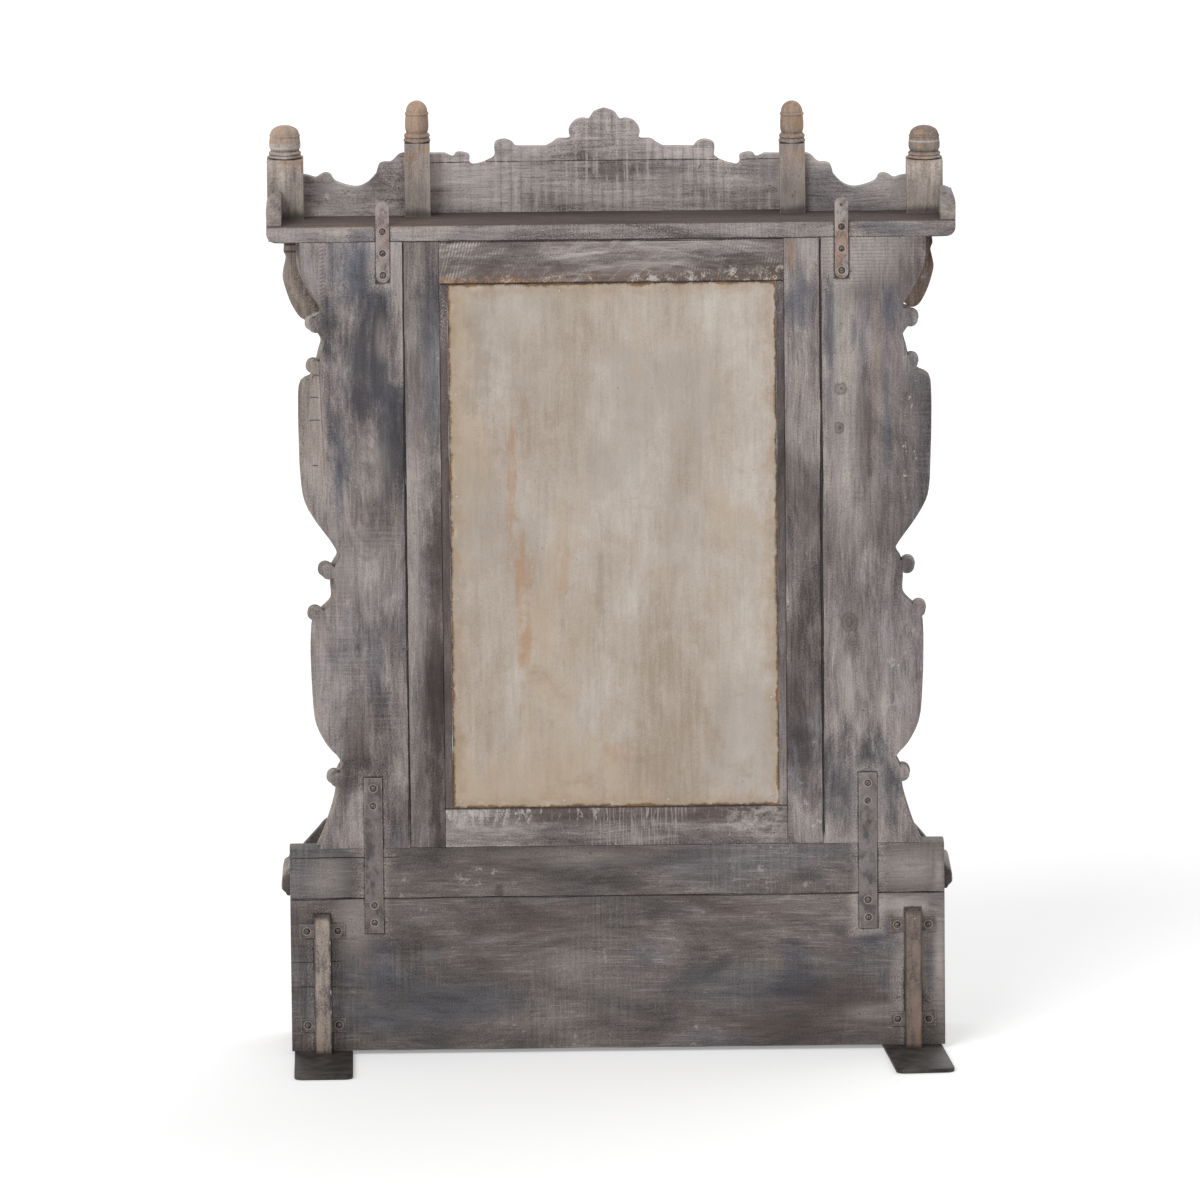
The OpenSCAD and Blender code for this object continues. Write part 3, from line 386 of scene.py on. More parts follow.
def wear_and_painted_light(f, carved):
    """Corners rubbed bare and lightened as painted highlight, dirt and painted shade in the
    hollows; whitewash keeps to raised carving
    """
    if carved:
        raised = f.node("ShaderNodeAttribute", {"attribute_name": "raised"}, {}, "Fac")
        f.wash(tint(186, 175, 165), raised * f.patchy(-0.25, 0.1, 0.45, 0.9))
    # pale edges: rubbed bare, and a painted highlight along every corner
    rubbed = 1 - f.open_air(0.003, True) + f.grit * 0.5 + f.cloud
    f.lay(tint(188, 178, 170), rubbed.fade(0.35, 0.62, 0, 0.5))
    # dark hollows: dirt, and painted shade where the piece shades itself
    start, strength = (0.97, 0.92) if carved else (0.85, 0.6)
    f.lay(tint(46, 39, 36), (f.open_air(0.014) + f.grit * 0.3).fade(start, 0.45, 0, strength))


timbers = {}


def timber(dressed, name, grain, family, seed, blue=0.35, brown=0.4, white=0.5, saw=0.0, pitch=240,
           cloudy=1.0, streak=0.65, knots=(), cracks=(), marks=(), beside=(), extra=None,
           carved=False):
    """The timber of the nodes whose names start as in dressed. Lengths are in mm: knots are
    (x, z, radius), cracks are (start, end, place across, half width), marks are (x, z, half
    width, half height, colour, strength in percent); beside names the steel that lies on it"""
    f = Timber(name, grain, family, seed, cloudy, streak)
    stains(f, blue, brown)
    scratches(f, white)
    if saw:
        saw_marks(f, saw, pitch)
    whitewash(f, white)
    for values in marks:
        mark(f, *values)
    for node in beside:
        halo_and_shadow_beside(f, node)
    pits(f)
    for values in knots:
        knot(f, *values)
    for values in cracks:
        crack(f, *values)
    if extra:
        extra(f)
    wear_and_painted_light(f, carved)
    timbers[dressed] = f.finish(0.78 + (f.figure + f.grit) * 0.3, f.height, 0.0014)


def panel_finish(low, high):
    """Cream paint brushed upright, with smudges, rust runs and a ragged, dirty edge"""
    f = Finish("cream_panel")
    slant = f.node("ShaderNodeMapping", {},
                   {"Vector": f.place, "Rotation": (0, radians(4), 0), "Scale": (1, 1, 0.08)})
    strokes = f.noise(slant, 150, 5, 0.72, 0.3) - 0.5
    broad = f.drawn((1, 1, 0.35), 2, 8, 4, 0.55, 0.3) - 0.5
    cloud = f.drawn((1, 1, 0.8), 5, 26, 6, 0.66, 0.4) - 0.5
    grit = f.noise(f.place, 380, 3, 0.75) - 0.5
    f.colour = f.ramp(broad * 1.7 + strokes * 0.75 + cloud * 0.75 + grit * 0.8 + 0.5,
                      (0.1, tint(160, 144, 128)), (0.5, tint(182, 169, 157)),
                      (0.9, tint(200, 191, 182)))
    grey = f.drawn((1, 1, 0.6), 7, 6, 7, 0.64, 0.4) + strokes * 0.15
    f.lay(tint(168, 158, 150), grey.fade(0.5, 0.64, 0, 0.45))
    warm = f.drawn((1, 1, 0.5), 13, 7, 7, 0.66, 0.5) + strokes * 0.15
    warm = (warm + f.x.fade(0.17, 0.23, 0, 0.1) + f.z.fade(0.48, 0.4, 0, 0.05)
            + f.z.fade(1.08, 1.16, 0, 0.04))
    f.lay(tint(183, 162, 135), warm.fade(0.53, 0.68, 0, 0.55))
    # x, z, half width and half height in mm, and how rusty in percent
    runs = ((153, 870, 6, 80, 38), (139, 735, 12, 30, 32), (133, 630, 7, 35, 50),
            (141, 700, 5, 120, 30), (75, 735, 8, 40, 25), (197, 1060, 18, 80, 0),
            (20, 710, 5, 60, 0), (-80, 650, 6, 20, 0), (0, 460, 20, 12, 25))
    for x, z, wide, tall, rusty in runs:
        far = f.distance(x / 1000, z / 1000, wide / 1000, tall / 1000)
        far = far + cloud * 5 + strokes * 3 + grit
        f.lay(tint(176, 130, 88) if rusty else tint(158, 144, 132),
              far.fade(1.7, 0.2, 0, rusty / 100 or 0.6))
    smudge = f.drawn((0.7, 1, 1), 21, 20, 7, 0.74, 0.4) + f.z.fade(0.75, 0.4, 0, 0.07)
    f.lay(tint(150, 126, 102), (smudge + grit * 0.15).fade(0.58, 0.76, 0, 0.45))
    edge = f.depth_in(low, high)
    ragged = f.noise(f.place, 36, 8, 0.78, 0.3) - 0.5
    slow = f.noise(f.place, 13, 3, 0.6)
    f.lay(tint(166, 142, 115), (edge + ragged * 0.09).fade(0.028, -0.006, 0, 0.7))
    f.lay(tint(196, 184, 170), (edge + ragged * 0.04).fade(0.012, 0.004)
          * (edge + ragged * 0.03).fade(0.002, 0.005) * slow.fade(0.5, 0.6, 0, 0.6))
    f.lay(tint(154, 116, 76), (edge + ragged * 0.03).fade(0.004, 0.0015)
          * slow.fade(0.42, 0.56, 0.2, 0.95))
    f.lay(tint(60, 46, 38), (edge + ragged * 0.014).fade(0.0019, 0.0007)
          * slow.fade(0.6, 0.46, 0.15, 0.9))
    spots = f.drawn((1, 1, 1), 4, 60, 5, 0.65).fade(0.69, 0.74)
    f.lay(tint(112, 82, 58), spots * 0.7)
    return f.finish(0.66, strokes + cloud * 0.6 + grit * 0.5
                    + (edge + ragged * 0.02).fade(0, 0.004) * 2, 0.0008)


def steel_finish(name, base, rust, seed, rusty=0.5, low=None, metal=0.25, screws=()):
    """Old flat steel with a grey wash and rust, a pale rim worn bare and painted as highlight,
    painted shade on its sides, and a ring round each screw, dark with painted shade next to the
    head
    """
    f = Finish(name)
    mottle = f.drawn((1, 1, 0.6), seed, 60, 7, 0.72)
    facing = abs(f.facing())
    f.colour = f.mix(shade(base, DARKER), base, mottle.fade(0.38, 0.56))
    grit = f.noise(f.place, 330, 4, 0.75)
    patch = f.drawn((1, 1, 0.5), seed + 4, 34, 6, 0.75)
    if low is not None:
        patch = patch + f.z.fade(low + 0.03, low - 0.02, 0, 0.09)
    rust = f.mix(shade(rust, 0.5), shade(rust, 1.35), (grit * 0.6 + mottle * 0.4).fade(0.42, 0.58))
    f.lay(rust, (patch + (grit - 0.5) * 0.3).fade(0.5, 0.62, 0, rusty))
    f.lay(tint(192, 184, 178), (grit * 0.5 + mottle * 0.5).fade(0.56, 0.66, 0, 0.55))
    f.lay(tint(46, 40, 38), (grit * 0.6 + mottle * 0.4).fade(0.43, 0.34, 0, 0.8))
    for head in screws:
        far = f.distance(head.x, head.z) + (mottle - 0.5) * 0.005
        f.lay(tint(190, 181, 175), far.fade(0.007, 0.006, 0, 0.45))
        # painted shade next to each screw head
        f.lay(tint(40, 35, 33), far.fade(0.0056, 0.0049, 0, 0.75))
    # a pale rim along the edges: worn bare, and painted highlight
    rim = 1 - f.open_air(0.0016, True)
    f.lay(tint(196, 187, 181), (rim + (grit - 0.5)).fade(0.15, 0.45, 0, 0.75))
    # painted shade on the sides, which do not face straight back
    f.lay(tint(44, 37, 35), facing.fade(0.75, 0.3, 0, 0.9))
    return f.finish(0.6 + (mottle - 0.5) * 0.3, mottle + grit * 0.5, 0.0007, metal)


def screw_finish():
    """Dark slotted heads with painted shade round the rim and in the slot, and a paler middle, the
    old wash rubbed off it and a painted highlight where the head faces straight back
    """
    f = Finish("slotted_screw")
    facing = f.facing()
    mottle = f.noise(f.place, 300, 4, 0.7)
    # paler where the head faces straight back: rubbed wash and painted highlight
    f.colour = f.mix(tint(58, 50, 48), tint(142, 131, 125),
                     (mottle * 0.6 + facing * 0.5).fade(0.66, 0.86))
    # painted shade round the rim, where the head turns away
    f.lay(tint(24, 20, 19), facing.fade(0.8, 0.35))
    # painted shade in the slot and round the head
    f.lay(tint(26, 21, 20), f.open_air(0.002).fade(0.8, 0.45))
    return f.finish(0.5 + mottle * 0.2, mottle, 0.0004, 0.5)


def tube_finish(name, base, seed, chipped, low, high):
    """Thick old paint on a steel tube, chipped along its corners, with painted shade along its
    sides and at its ends
    """
    f = Finish(name)
    streak = f.drawn((1, 1, 0.16), seed, 110, 6, 0.7)
    cloud = f.drawn((1, 1, 0.6), seed + 5, 36, 6, 0.7)
    grit = f.noise(f.place, 360, 3, 0.75) - 0.5
    f.colour = f.ramp(streak + (cloud - 0.5) * 0.9 + grit * 0.8, (0.34, shade(base, DARKER)),
                      (0.5, base), (0.66, shade(base, 1.35)))
    f.lay(tint(150, 122, 102), f.drawn((1, 1, 0.3), seed + 2, 22, 6).fade(0.5, 0.62, 0, 0.65))
    # painted shade along the tube's sides
    corner = (f.x - low.x).least(high.x - f.x)
    dark = (corner + (cloud - 0.5) * 0.004).fade(0.0035, 0.0008)
    f.lay(tint(58, 49, 46), dark * 0.75)
    chip = f.drawn((1, 1, 0.5), seed + 9, 60, 6, 0.75)
    right = (f.x - low.x).fade(0.008, 0.0)
    f.lay(tint(222, 216, 210), (chip + right * 0.12 + chipped).fade(0.66, 0.7) * 0.9)
    # painted shade at both ends: inside the open top and at the foot on the plate
    ends = (f.z - low.z).least(high.z - f.z) + (cloud - 0.5) * 0.02
    f.lay(tint(70, 60, 55), ends.fade(0.009, 0.001, 0, 0.85))
    return f.finish(0.55, streak * 0.4 + cloud * 0.5 + grit * 0.4, 0.0008, 0.1)


def plate_finish():
    """Black steel, a little brown, and paler at its edges, rubbed and painted as highlight"""
    f = Finish("black_steel")
    mottle = f.noise(f.place, 40, 6, 0.7)
    f.colour = f.mix(tint(40, 37, 36), tint(76, 71, 68), mottle.fade(0.35, 0.68))
    f.lay(tint(92, 78, 70), f.noise(f.place, 18, 5).fade(0.56, 0.72, 0, 0.4))
    # pale edges: rubbed, and painted highlight
    rubbed = 1 - f.open_air(0.002, True) + (mottle - 0.5)
    f.lay(tint(120, 112, 106), rubbed.fade(0.4, 0.7, 0, 0.4))
    return f.finish(0.5 + mottle * 0.2, mottle, 0.0005, 0.4)


def mirror_finish(low, high):
    """Silvered glass, clear but for a little tarnish creeping in from its edge"""
    f = Finish("mirror")
    edge = f.depth_in(low, high)
    creep = f.noise(f.place, 38, 6, 0.7) - 0.5
    spots = f.noise(f.place, 150, 5, 0.7)
    tarnish = (edge + creep * 0.11).fade(0.042, 0.006)
    f.colour = f.mix(tint(228, 232, 232), tint(156, 148, 138), tarnish
                     * spots.fade(0.4, 0.66, 0.1, 0.6))
    return f.finish(0.015 + tarnish * 0.12, None, 0.001, 1.0)


# Modelling


def take(*chosen):
    """Selects these pieces and nothing else"""
    bpy.ops.object.select_all(action="DESELECT")
    for obj in chosen:
        obj.select_set(True)
    bpy.context.view_layer.objects.active = chosen[0]


def mode(name):
    bpy.ops.object.mode_set(mode=name)


def apply(obj, kind, **settings):
    modifier = obj.modifiers.new("work", kind)
    for key, value in settings.items():
        setattr(modifier, key, value)
    take(obj)
    bpy.ops.object.modifier_apply(modifier=modifier.name)


def clean_copy(node):
    """A copy of a node with its doubled points merged and its flat faces whole again"""
    piece = nodes[node].copy()
    piece.data = nodes[node].data.copy()
    piece.parent = None
    for key in list(piece.keys()):
        del piece[key]
    piece.name = "worn_" + node
    scene.collection.objects.link(piece)
    take(piece)
    mode("EDIT")
    bpy.ops.mesh.select_all(action="SELECT")
    bpy.ops.mesh.remove_doubles(threshold=0.00001)
    bpy.ops.mesh.customdata_custom_splitnormals_clear()
    bpy.ops.mesh.dissolve_limited(angle_limit=radians(0.5))
    mode("OBJECT")
    return piece


def choose(parts, kind, wanted):
    """In edit mode, selects the faces or the points that are wanted"""
    bpy.ops.mesh.select_all(action="DESELECT")
    mode("OBJECT")
    for part in parts:
        part.select = wanted(part)
    mode("EDIT")
    bpy.ops.mesh.select_mode(type=kind)


# the slow waviness of old boards
WOBBLE = bpy.data.textures.new("wobble", "CLOUDS")
WOBBLE.noise_scale, WOBBLE.noise_depth = 0.05, 2
# between the cuts that let a board become uneven
CUT_PITCH = 0.03
RIM_WIDTH, RIM_DEPTH = 0.006, 0.003


def worn(node, finish, slot, edge=0.0018, uneven=0.0016, rimmed=False):
    """The node again with softened edges, a little uneven, and a carved rim along its front if
    it is rimmed"""
    piece = clean_copy(node)
    low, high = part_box(node)
    size = high - low
    axis = max(range(3), key=lambda i: size[i])
    take(piece)
    mode("EDIT")
    if rimmed:
        choose(piece.data.polygons, "FACE",
               lambda face: face.normal.y < -0.99 and face.center.y < low.y + 0.0005)
        bpy.ops.mesh.inset(thickness=RIM_WIDTH, depth=-RIM_DEPTH, use_even_offset=True)
        bpy.ops.mesh.select_mode(type="VERT")
    cuts = int(size[axis] / CUT_PITCH) if uneven else 0
    for i in range(1, cuts):
        at, normal = low.copy(), Vector((0, 0, 0))
        at[axis] = low[axis] + size[axis] * i / cuts
        normal[axis] = 1
        bpy.ops.mesh.select_all(action="SELECT")
        bpy.ops.mesh.bisect(plane_co=at, plane_no=normal)
    mode("OBJECT")
    if edge:
        apply(piece, "BEVEL", width=edge, segments=2, limit_method="ANGLE",
              angle_limit=radians(34))
    if uneven:
        apply(piece, "DISPLACE", texture=WOBBLE, strength=uneven, mid_level=0.5,
              texture_coords="GLOBAL")
    take(piece)
    bpy.ops.object.shade_smooth_by_angle(angle=radians(38))
    return dress(piece, finish, slot, node)


def dress(piece, finish, slot, *replaced):
    """Gives a piece its finish and its body, and hides the nodes that it stands in place of"""
    piece.data.materials.clear()
    piece.data.materials.append(finish)
    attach(piece, "root")
    if replaced:
        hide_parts(*replaced)
    return piece


def heads_of(screws):
    """The middle of each screw head, on its outer face"""
    heads = {}
    for point in screws.data.vertices:
        key = next((k for k in heads
                    if max(abs(k[0] - point.co.x), abs(k[1] - point.co.z)) < 0.006),
                   (point.co.x, point.co.z))
        heads.setdefault(key, []).append(point.co)
    middles = []
    for points in heads.values():
        middle = sum(points, Vector()) / len(points)
        middle.y = max(point.y for point in points)
        middles.append(middle)
    return middles


def slotted(screws):
    """Cuts a slot across every head, each turned its own way"""
    blades = []
    for i, middle in enumerate(heads_of(screws)):
        bpy.ops.mesh.primitive_cube_add(size=1, location=middle,
                                        rotation=(0, radians(38 + 67 * i), 0),
                                        scale=(0.02, 0.0022, 0.0013))
        blades.append(bpy.context.object)
    take(*blades)
    bpy.ops.object.join()
    cutter = bpy.context.object
    bpy.ops.object.transform_apply(location=True, rotation=True, scale=True)
    apply(screws, "BOOLEAN", operation="DIFFERENCE", object=cutter, solver="EXACT")
    bpy.data.objects.remove(cutter)
    take(screws)
    bpy.ops.object.shade_smooth_by_angle(angle=radians(30))


# Carving on the front


def spread(start, end, count):
    """The middles of equal steps from start to end"""
    return [start + (end - start) * (i + 0.5) / count for i in range(count)]


def at(x, y, z, spin=0.0, lean=0.0, turn=0.0, size=(1, 1, 1)):
    """Where a carved shape goes: spin turns it in the upright plane, lean tips it back, turn
    swings it round the upright axis; angles in degrees"""
    return (Matrix.Translation((x, y, z)) @ Matrix.Rotation(radians(turn), 4, "Z")
            @ Matrix.Rotation(radians(spin), 4, "Y") @ Matrix.Rotation(radians(lean), 4, "X")
            @ Matrix.Diagonal((*size, 1)))


def carved_leaf():
    """A leaf about a unit wide, deep and tall, which stands on its foot and ends in a point"""
    bpy.ops.mesh.primitive_uv_sphere_add(segments=12, ring_count=6, radius=0.5,
                                         location=(0, 0, 0.5))
    leaf = bpy.context.object
    points = leaf.data.vertices
    mode("EDIT")
    # a groove down its middle, then a drawn point
    choose(points, "VERT", lambda point: abs(point.co.x) < 0.01 and point.co.y < -0.1)
    bpy.ops.transform.translate(value=(0, -0.22, 0))
    for height, share in ((0.7, 0.72), (0.9, 0.5)):
        choose(points, "VERT", lambda point: point.co.z + leaf.location.z > height)
        bpy.ops.transform.resize(value=(share, 1, 1.06))
    mode("OBJECT")
    bpy.ops.object.transform_apply(location=True, rotation=False, scale=False)
    return leaf


def carved_boss():
    """A round boss a unit across"""
    bpy.ops.mesh.primitive_uv_sphere_add(segments=10, ring_count=6, radius=0.5,
                                         rotation=(radians(90), 0, 0))
    bpy.ops.object.transform_apply(location=False, rotation=True, scale=False)
    return bpy.context.object


def carve(node, model, places, *others):
    """Copies of one carved shape, each with its own mesh in its place, joined to the worn piece
    that they are cut from"""
    made = list(others)
    for place in places:
        copy = model.copy()
        copy.data = model.data.copy()
        copy.data.transform(place)
        scene.collection.objects.link(copy)
        made.append(copy)
    for piece in made:
        piece.data.materials.append(pieces[node].data.materials[0])
        raised = piece.data.attributes.new("raised", "FLOAT", "POINT")
        raised.data.foreach_set("value", [1.0] * len(piece.data.vertices))
    take(pieces[node], *made)
    bpy.ops.object.join()
    bpy.ops.object.shade_smooth_by_angle(angle=radians(42))


def flower(x, y, z, r, petals, turn=0.0, deep=0.3):
    """Places of a ring of leaves round a middle, seen from the front"""
    return [at(x, y, z, turn=turn) @ at(0, 0, 0, spin=360 * i / petals)
            @ at(0, 0, r * 0.18, size=(r * 4.2 / petals, r * deep, r * 0.82))
            for i in range(petals)]


def running_scroll(node, start, turn, count, r):
    """A vine that winds round one circle after another, with a leaf in each gap"""
    curve = bpy.data.curves.new("vine", "CURVE")
    curve.dimensions, curve.bevel_depth, curve.bevel_resolution = "3D", r * 0.13, 2
    places = []
    frame_in = Matrix.Translation(start) @ Matrix.Rotation(radians(turn), 4, "Y")
    for k in range(count):
        side = 1 if k % 2 == 0 else -1
        middle = r * (1 + 2 * k)
        spline = curve.splines.new("POLY")
        steps = 40
        spline.points.add(steps)
        for i in range(steps + 1):
            share = i / steps
            angle = radians(180 - 520 * share)
            reach = r * (1 if share < 0.36 else 1 - 0.78 * (share - 0.36) / 0.64)
            spot = frame_in @ Vector((middle + reach * cos(angle), 0, side * reach * sin(angle)))
            spline.points[i].co = (*spot, 1)
            spline.points[i].radius = 1 - 0.5 * share
        places += [frame_in @ place for place in flower(middle, 0, 0, r * 0.34, 5)]
        places += [frame_in @ at(middle + r * 0.95, 0, -side * r * 0.3, spin=spin,
                                 size=(r * 0.4, r * 0.22, r * 0.95))
                   for spin in ((90 + 50, 90 + 95) if side > 0 else (90 - 50, 90 - 95))]
    vine = bpy.data.objects.new("vine", curve)
    scene.collection.objects.link(vine)
    take(vine)
    bpy.ops.object.convert(target="MESH")
    carve(node, leaf, places, bpy.context.object)


make_camera()
scene.view_settings.view_transform = "Standard"
lamp("key", 1.35, 30, 148, 36)
lamp("fill", 0.9, 60, 330, 35)

world = bpy.data.worlds.new("studio")
scene.world = world
world.use_nodes = True
sky = Nodes(world.node_tree)
background = sky.tree.nodes["Background"]
background.inputs["Color"].default_value = (1, 1, 1, 1)
sky.feed(background.inputs["Strength"], sky.seen().fade(0, 1, 0.55, 1.0))

bpy.ops.mesh.primitive_plane_add(size=240, location=(0, 0, -0.0005))
floor = bpy.context.object
floor.name = "floor"
white = Finish("floor_white")
white.feed(white.shader.inputs["Emission Color"],
           white.mix((0, 0, 0, 1), (0.3, 0.3, 0.3, 1), white.seen()))
white.feed(white.shader.inputs["Emission Strength"], 1.0)
white.colour = tint(232, 232, 232)
floor.data.materials.append(white.finish(0.9))


# What time and use left on single timbers, and the shade painted on some of them


def cornice_marks(f):
    """Saw ticks on the board's rear edge, and painted shade on the tray, which is its upper face,
    darkest towards the crest
    """
    ticks = ((f.x + f.cloud * 0.004).wave(0.0062, -0.1, 0.8)
             * (f.x + f.cloud * 0.5).fade(0.2, 0.05) * f.patchy(-0.1, 0.15))
    f.lay(tint(190, 182, 177), ticks * f.x.fade(-0.35, -0.28) * 0.32)
    fine = f.drawn((1, 0.1, 0.1), 50, 330, 2, 0.6)
    f.lay(tint(102, 93, 90), fine.fade(0.5, 0.42) * f.grit.fade(-0.1, 0.1, 0.4, 1) * 0.35)
    f.lay(tint(172, 140, 108), (f.z + f.cloud * 0.01 + f.grit * 0.002).fade(1.2585, 1.2605)
          * (f.cloud + f.figure).fade(0, 0.15, 0, 0.8) * f.x.fade(-0.1, 0.2))
    f.lay(BLACK, (f.z + f.grit * 0.003 + f.cloud * 0.004).fade(1.2402, 1.2386))
    f.lay(tint(62, 53, 51), (f.cloud + f.grit * 0.5).fade(-0.1, -0.2, 0, 0.6))
    # painted shade: the tray is dark as if in shade, darkest towards the crest, with pale dusty
    # patches
    tray = f.mix(f.toned(tint(56, 45, 42)), f.toned(tint(82, 69, 65)),
                 (f.y + f.cloud * 0.1).fade(-0.13, -0.03))
    tray = f.mix(tray, tint(132, 118, 110),
                 (f.grit + f.cloud * 1.4 + f.figure).fade(0.12, 0.4, 0, 0.5))
    f.lay(tray, (f.z + f.cloud * 0.004).fade(1.2605, 1.2622, 0, 0.95))


def rail_marks(f):
    """Curved marks of a round saw, and glue and dirt along the foot of the top rail"""
    f.lay(UMBER, (f.z + f.cloud * 0.1).fade(1.222, 1.185, 0, 0.75))
    f.wash(tint(98, 86, 81), (f.z + f.cloud * 0.08).fade(1.215, 1.195, 0.25, 0.8)
           * abs(f.x - 0.02).fade(0.24, 0.1, 0.4, 1))
    for x, z, seed, amount in ((0.0, 0.66, 0.0, 0.45), (-0.28, 0.9, 4.0, 0.35)):
        sweep = f.distance(x, z)
        marks = f.noise(f.node("ShaderNodeCombineXYZ", {},
                               {"X": sweep + seed, "Y": 0, "Z": f.x * 0.1}), 70, 3, 0.6)
        teeth = (f.x * 1.2 + f.z * 0.3 + f.cloud * 0.003).wave(0.0056, -0.6, 0.7)
        toothed = (abs(f.x) + f.cloud * 0.3).fade(0.04, 0.16, 0, 0.85)
        f.wash(tint(182, 174, 169), marks.fade(0.5, 0.66) * (1 - toothed * (1 - teeth))
               * f.patchy(-0.25, 0.05, 0.3, 1) * amount)
    foot = (f.z + f.cloud * 0.05).fade(1.194, 1.178)
    lumps = f.noise(f.place, 48, 7, 0.78)
    f.lay(tint(164, 126, 92), foot * (lumps + f.grit * 0.2).fade(0.42, 0.56, 0, 0.9)
          * f.x.fade(0.02, 0.14, 0.35, 1))
    f.lay(CHALK, (f.z + f.cloud * 0.08).fade(1.2, 1.185)
          * (lumps + f.grit * 0.3 + f.x.fade(0, -0.1, 0, 0.04)).fade(0.55, 0.62, 0, 0.85))
    f.lay(BLACK, (f.z + f.grit * 0.004).fade(1.1762, 1.1745, 0, 0.9))


def foot_rail_marks(f):
    """Whitewash rubbed and run down the bottom rail from the panel's edge"""
    runs = f.drawn((1, 1, 0.35), 40, 110, 7, 0.78, 0.8)
    left = (f.x + f.cloud * 0.15).fade(0.12, 0.2)
    top = (f.z + f.cloud * 0.06).fade(0.33, 0.37)
    f.wash(UMBER, (f.z + f.cloud * 0.03).fade(0.345, 0.36, 0, 0.85) * (1 - left))
    f.wash(PALE, left * (f.z + f.cloud * 0.1).fade(0.38, 0.33, 0, 0.4))
    f.lay(CHALK, (runs + left * 0.07).fade(0.54, 0.63) * top * 0.7)
    hatch = f.drawn((1, 1, 0.05), 52, 330, 3, 0.6).fade(0.48, 0.62)
    middle = abs(f.x + 0.035 + f.cloud * 0.1).fade(0.09, 0.05)
    f.lay(tint(170, 161, 155), hatch * middle * 0.6)
    smear = f.drawn((0.6, 1, 1), 54, 42, 7, 0.76).fade(0.46, 0.6)
    corner = (abs(f.x + 0.21) + f.cloud * 0.1).fade(0.06, 0.02)
    f.wash(tint(178, 169, 163), smear * corner * 0.7)
    f.lay(CHALK, (f.z + f.cloud * 0.012).fade(0.323, 0.319) * f.patchy(0, 0.2, 0, 0.8))
    f.lay(BLACK, (f.z + f.grit * 0.004 + f.cloud * 0.006).fade(0.3735, 0.3755, 0, 0.85))


def crest_marks(f):
    """Upright lines of a band saw, and chalk along the foot above the tray"""
    ragged = f.drawn((1, 1, 0.3), 44, 90, 5, 0.7)
    patch = (f.drawn((1, 1, 1), 9, 9, 4, 0.6).fade(0.4, 0.56, 0.25, 1)
             * f.y.fade(-0.145, -0.14))
    across, pitch = f.x + f.cloud * 0.005, 0.0152
    lines = across.wave(pitch, 0.45, 1.0) * ragged.fade(0.42, 0.58)
    fine = f.drawn((1, 1, 0.06), 46, 260, 3, 0.6).fade(0.5, 0.62) * ragged.fade(0.44, 0.6)
    f.lay(tint(104, 95, 93), (across + pitch / 2).wave(pitch, 0.6, 1.0) * patch * 0.35)
    f.lay(tint(206, 199, 194), (lines * 0.6).most(fine * 0.45) * patch)
    f.lay(CHALK, (f.z + f.cloud * 0.02).fade(1.271, 1.266) * f.patchy(-0.05, 0.15, 0, 0.7))


def left_wing_marks(f):
    """Bare sapwood along the edge with short checks, and a row of dashes above it"""
    line = 0.436 + (0.98 - f.z) * -0.03
    band = ((f.x - line + f.figure * 0.006).fade(-0.001, 0.0015) * f.z.fade(0.84, 0.93)
            * f.z.fade(1.09, 1.06))
    f.wash(tint(146, 134, 128), band * 0.85)
    for z, long in ((1.0388, 0.016), (1.0055, 0.012), (0.9707, 0.018), (0.902, 0.009)):
        bend = abs(f.z - z + (f.x - 0.445) * (f.x - 0.445) * 14 + f.cloud * 0.006 + f.grit * 0.001)
        f.lay(tint(60, 52, 49), bend.fade(0.0013, 0.0005)
              * abs(f.x - 0.4465 + f.cloud * 0.01).fade(long * 0.6, long * 0.35) * 0.85)
    f.lay(BLACK, abs(f.x - line + f.figure * 0.006).fade(0.0014, 0.0004) * f.z.fade(0.88, 0.95)
          * f.z.fade(1.09, 1.06) * 0.45)
    swirl = f.distance(0.37, 0.87, 1 / 2.4, 1 / 0.8)
    f.wash(tint(92, 84, 82), (swirl + f.cloud * 0.02).wave(0.021, 0.3, 1.0)
           * (swirl * swirl).fade(0.012, 0.006) * (f.cloud + f.figure).fade(-0.15, 0.1) * 0.4)
    column = abs(f.x - 0.4325 + f.cloud * 0.006).fade(0.0045, 0.002) * f.z.fade(1.11, 1.13)
    f.lay(tint(60, 50, 48), (f.z + f.x * 0.4 + f.cloud * 0.003).wave(0.0058, 0.3, 0.8) * column
          * f.patchy(-0.15, 0.12) * 0.6)


def right_wing_marks(f):
    """Fine level saw lines near the wing's top"""
    top = (f.z + f.cloud * 0.05).fade(1.152, 1.17)
    lines = ((f.z + f.cloud * 0.002).wave(0.0052, 0.1, 0.9)
             * (f.cloud + f.grit + f.figure).fade(-0.2, 0.15, 0.2, 1))
    f.lay(tint(84, 74, 71), lines * top * 0.4)
    chips = f.drawn((1, 1, 0.7), 56, 120, 6, 0.78)
    f.lay(CHALK, (chips + abs(f.x + 0.445).fade(0.02, 0.006, 0, 0.08)).fade(0.66, 0.7)
          * f.z.fade(0.8, 0.86) * f.z.fade(1.07, 1.03) * 0.75)


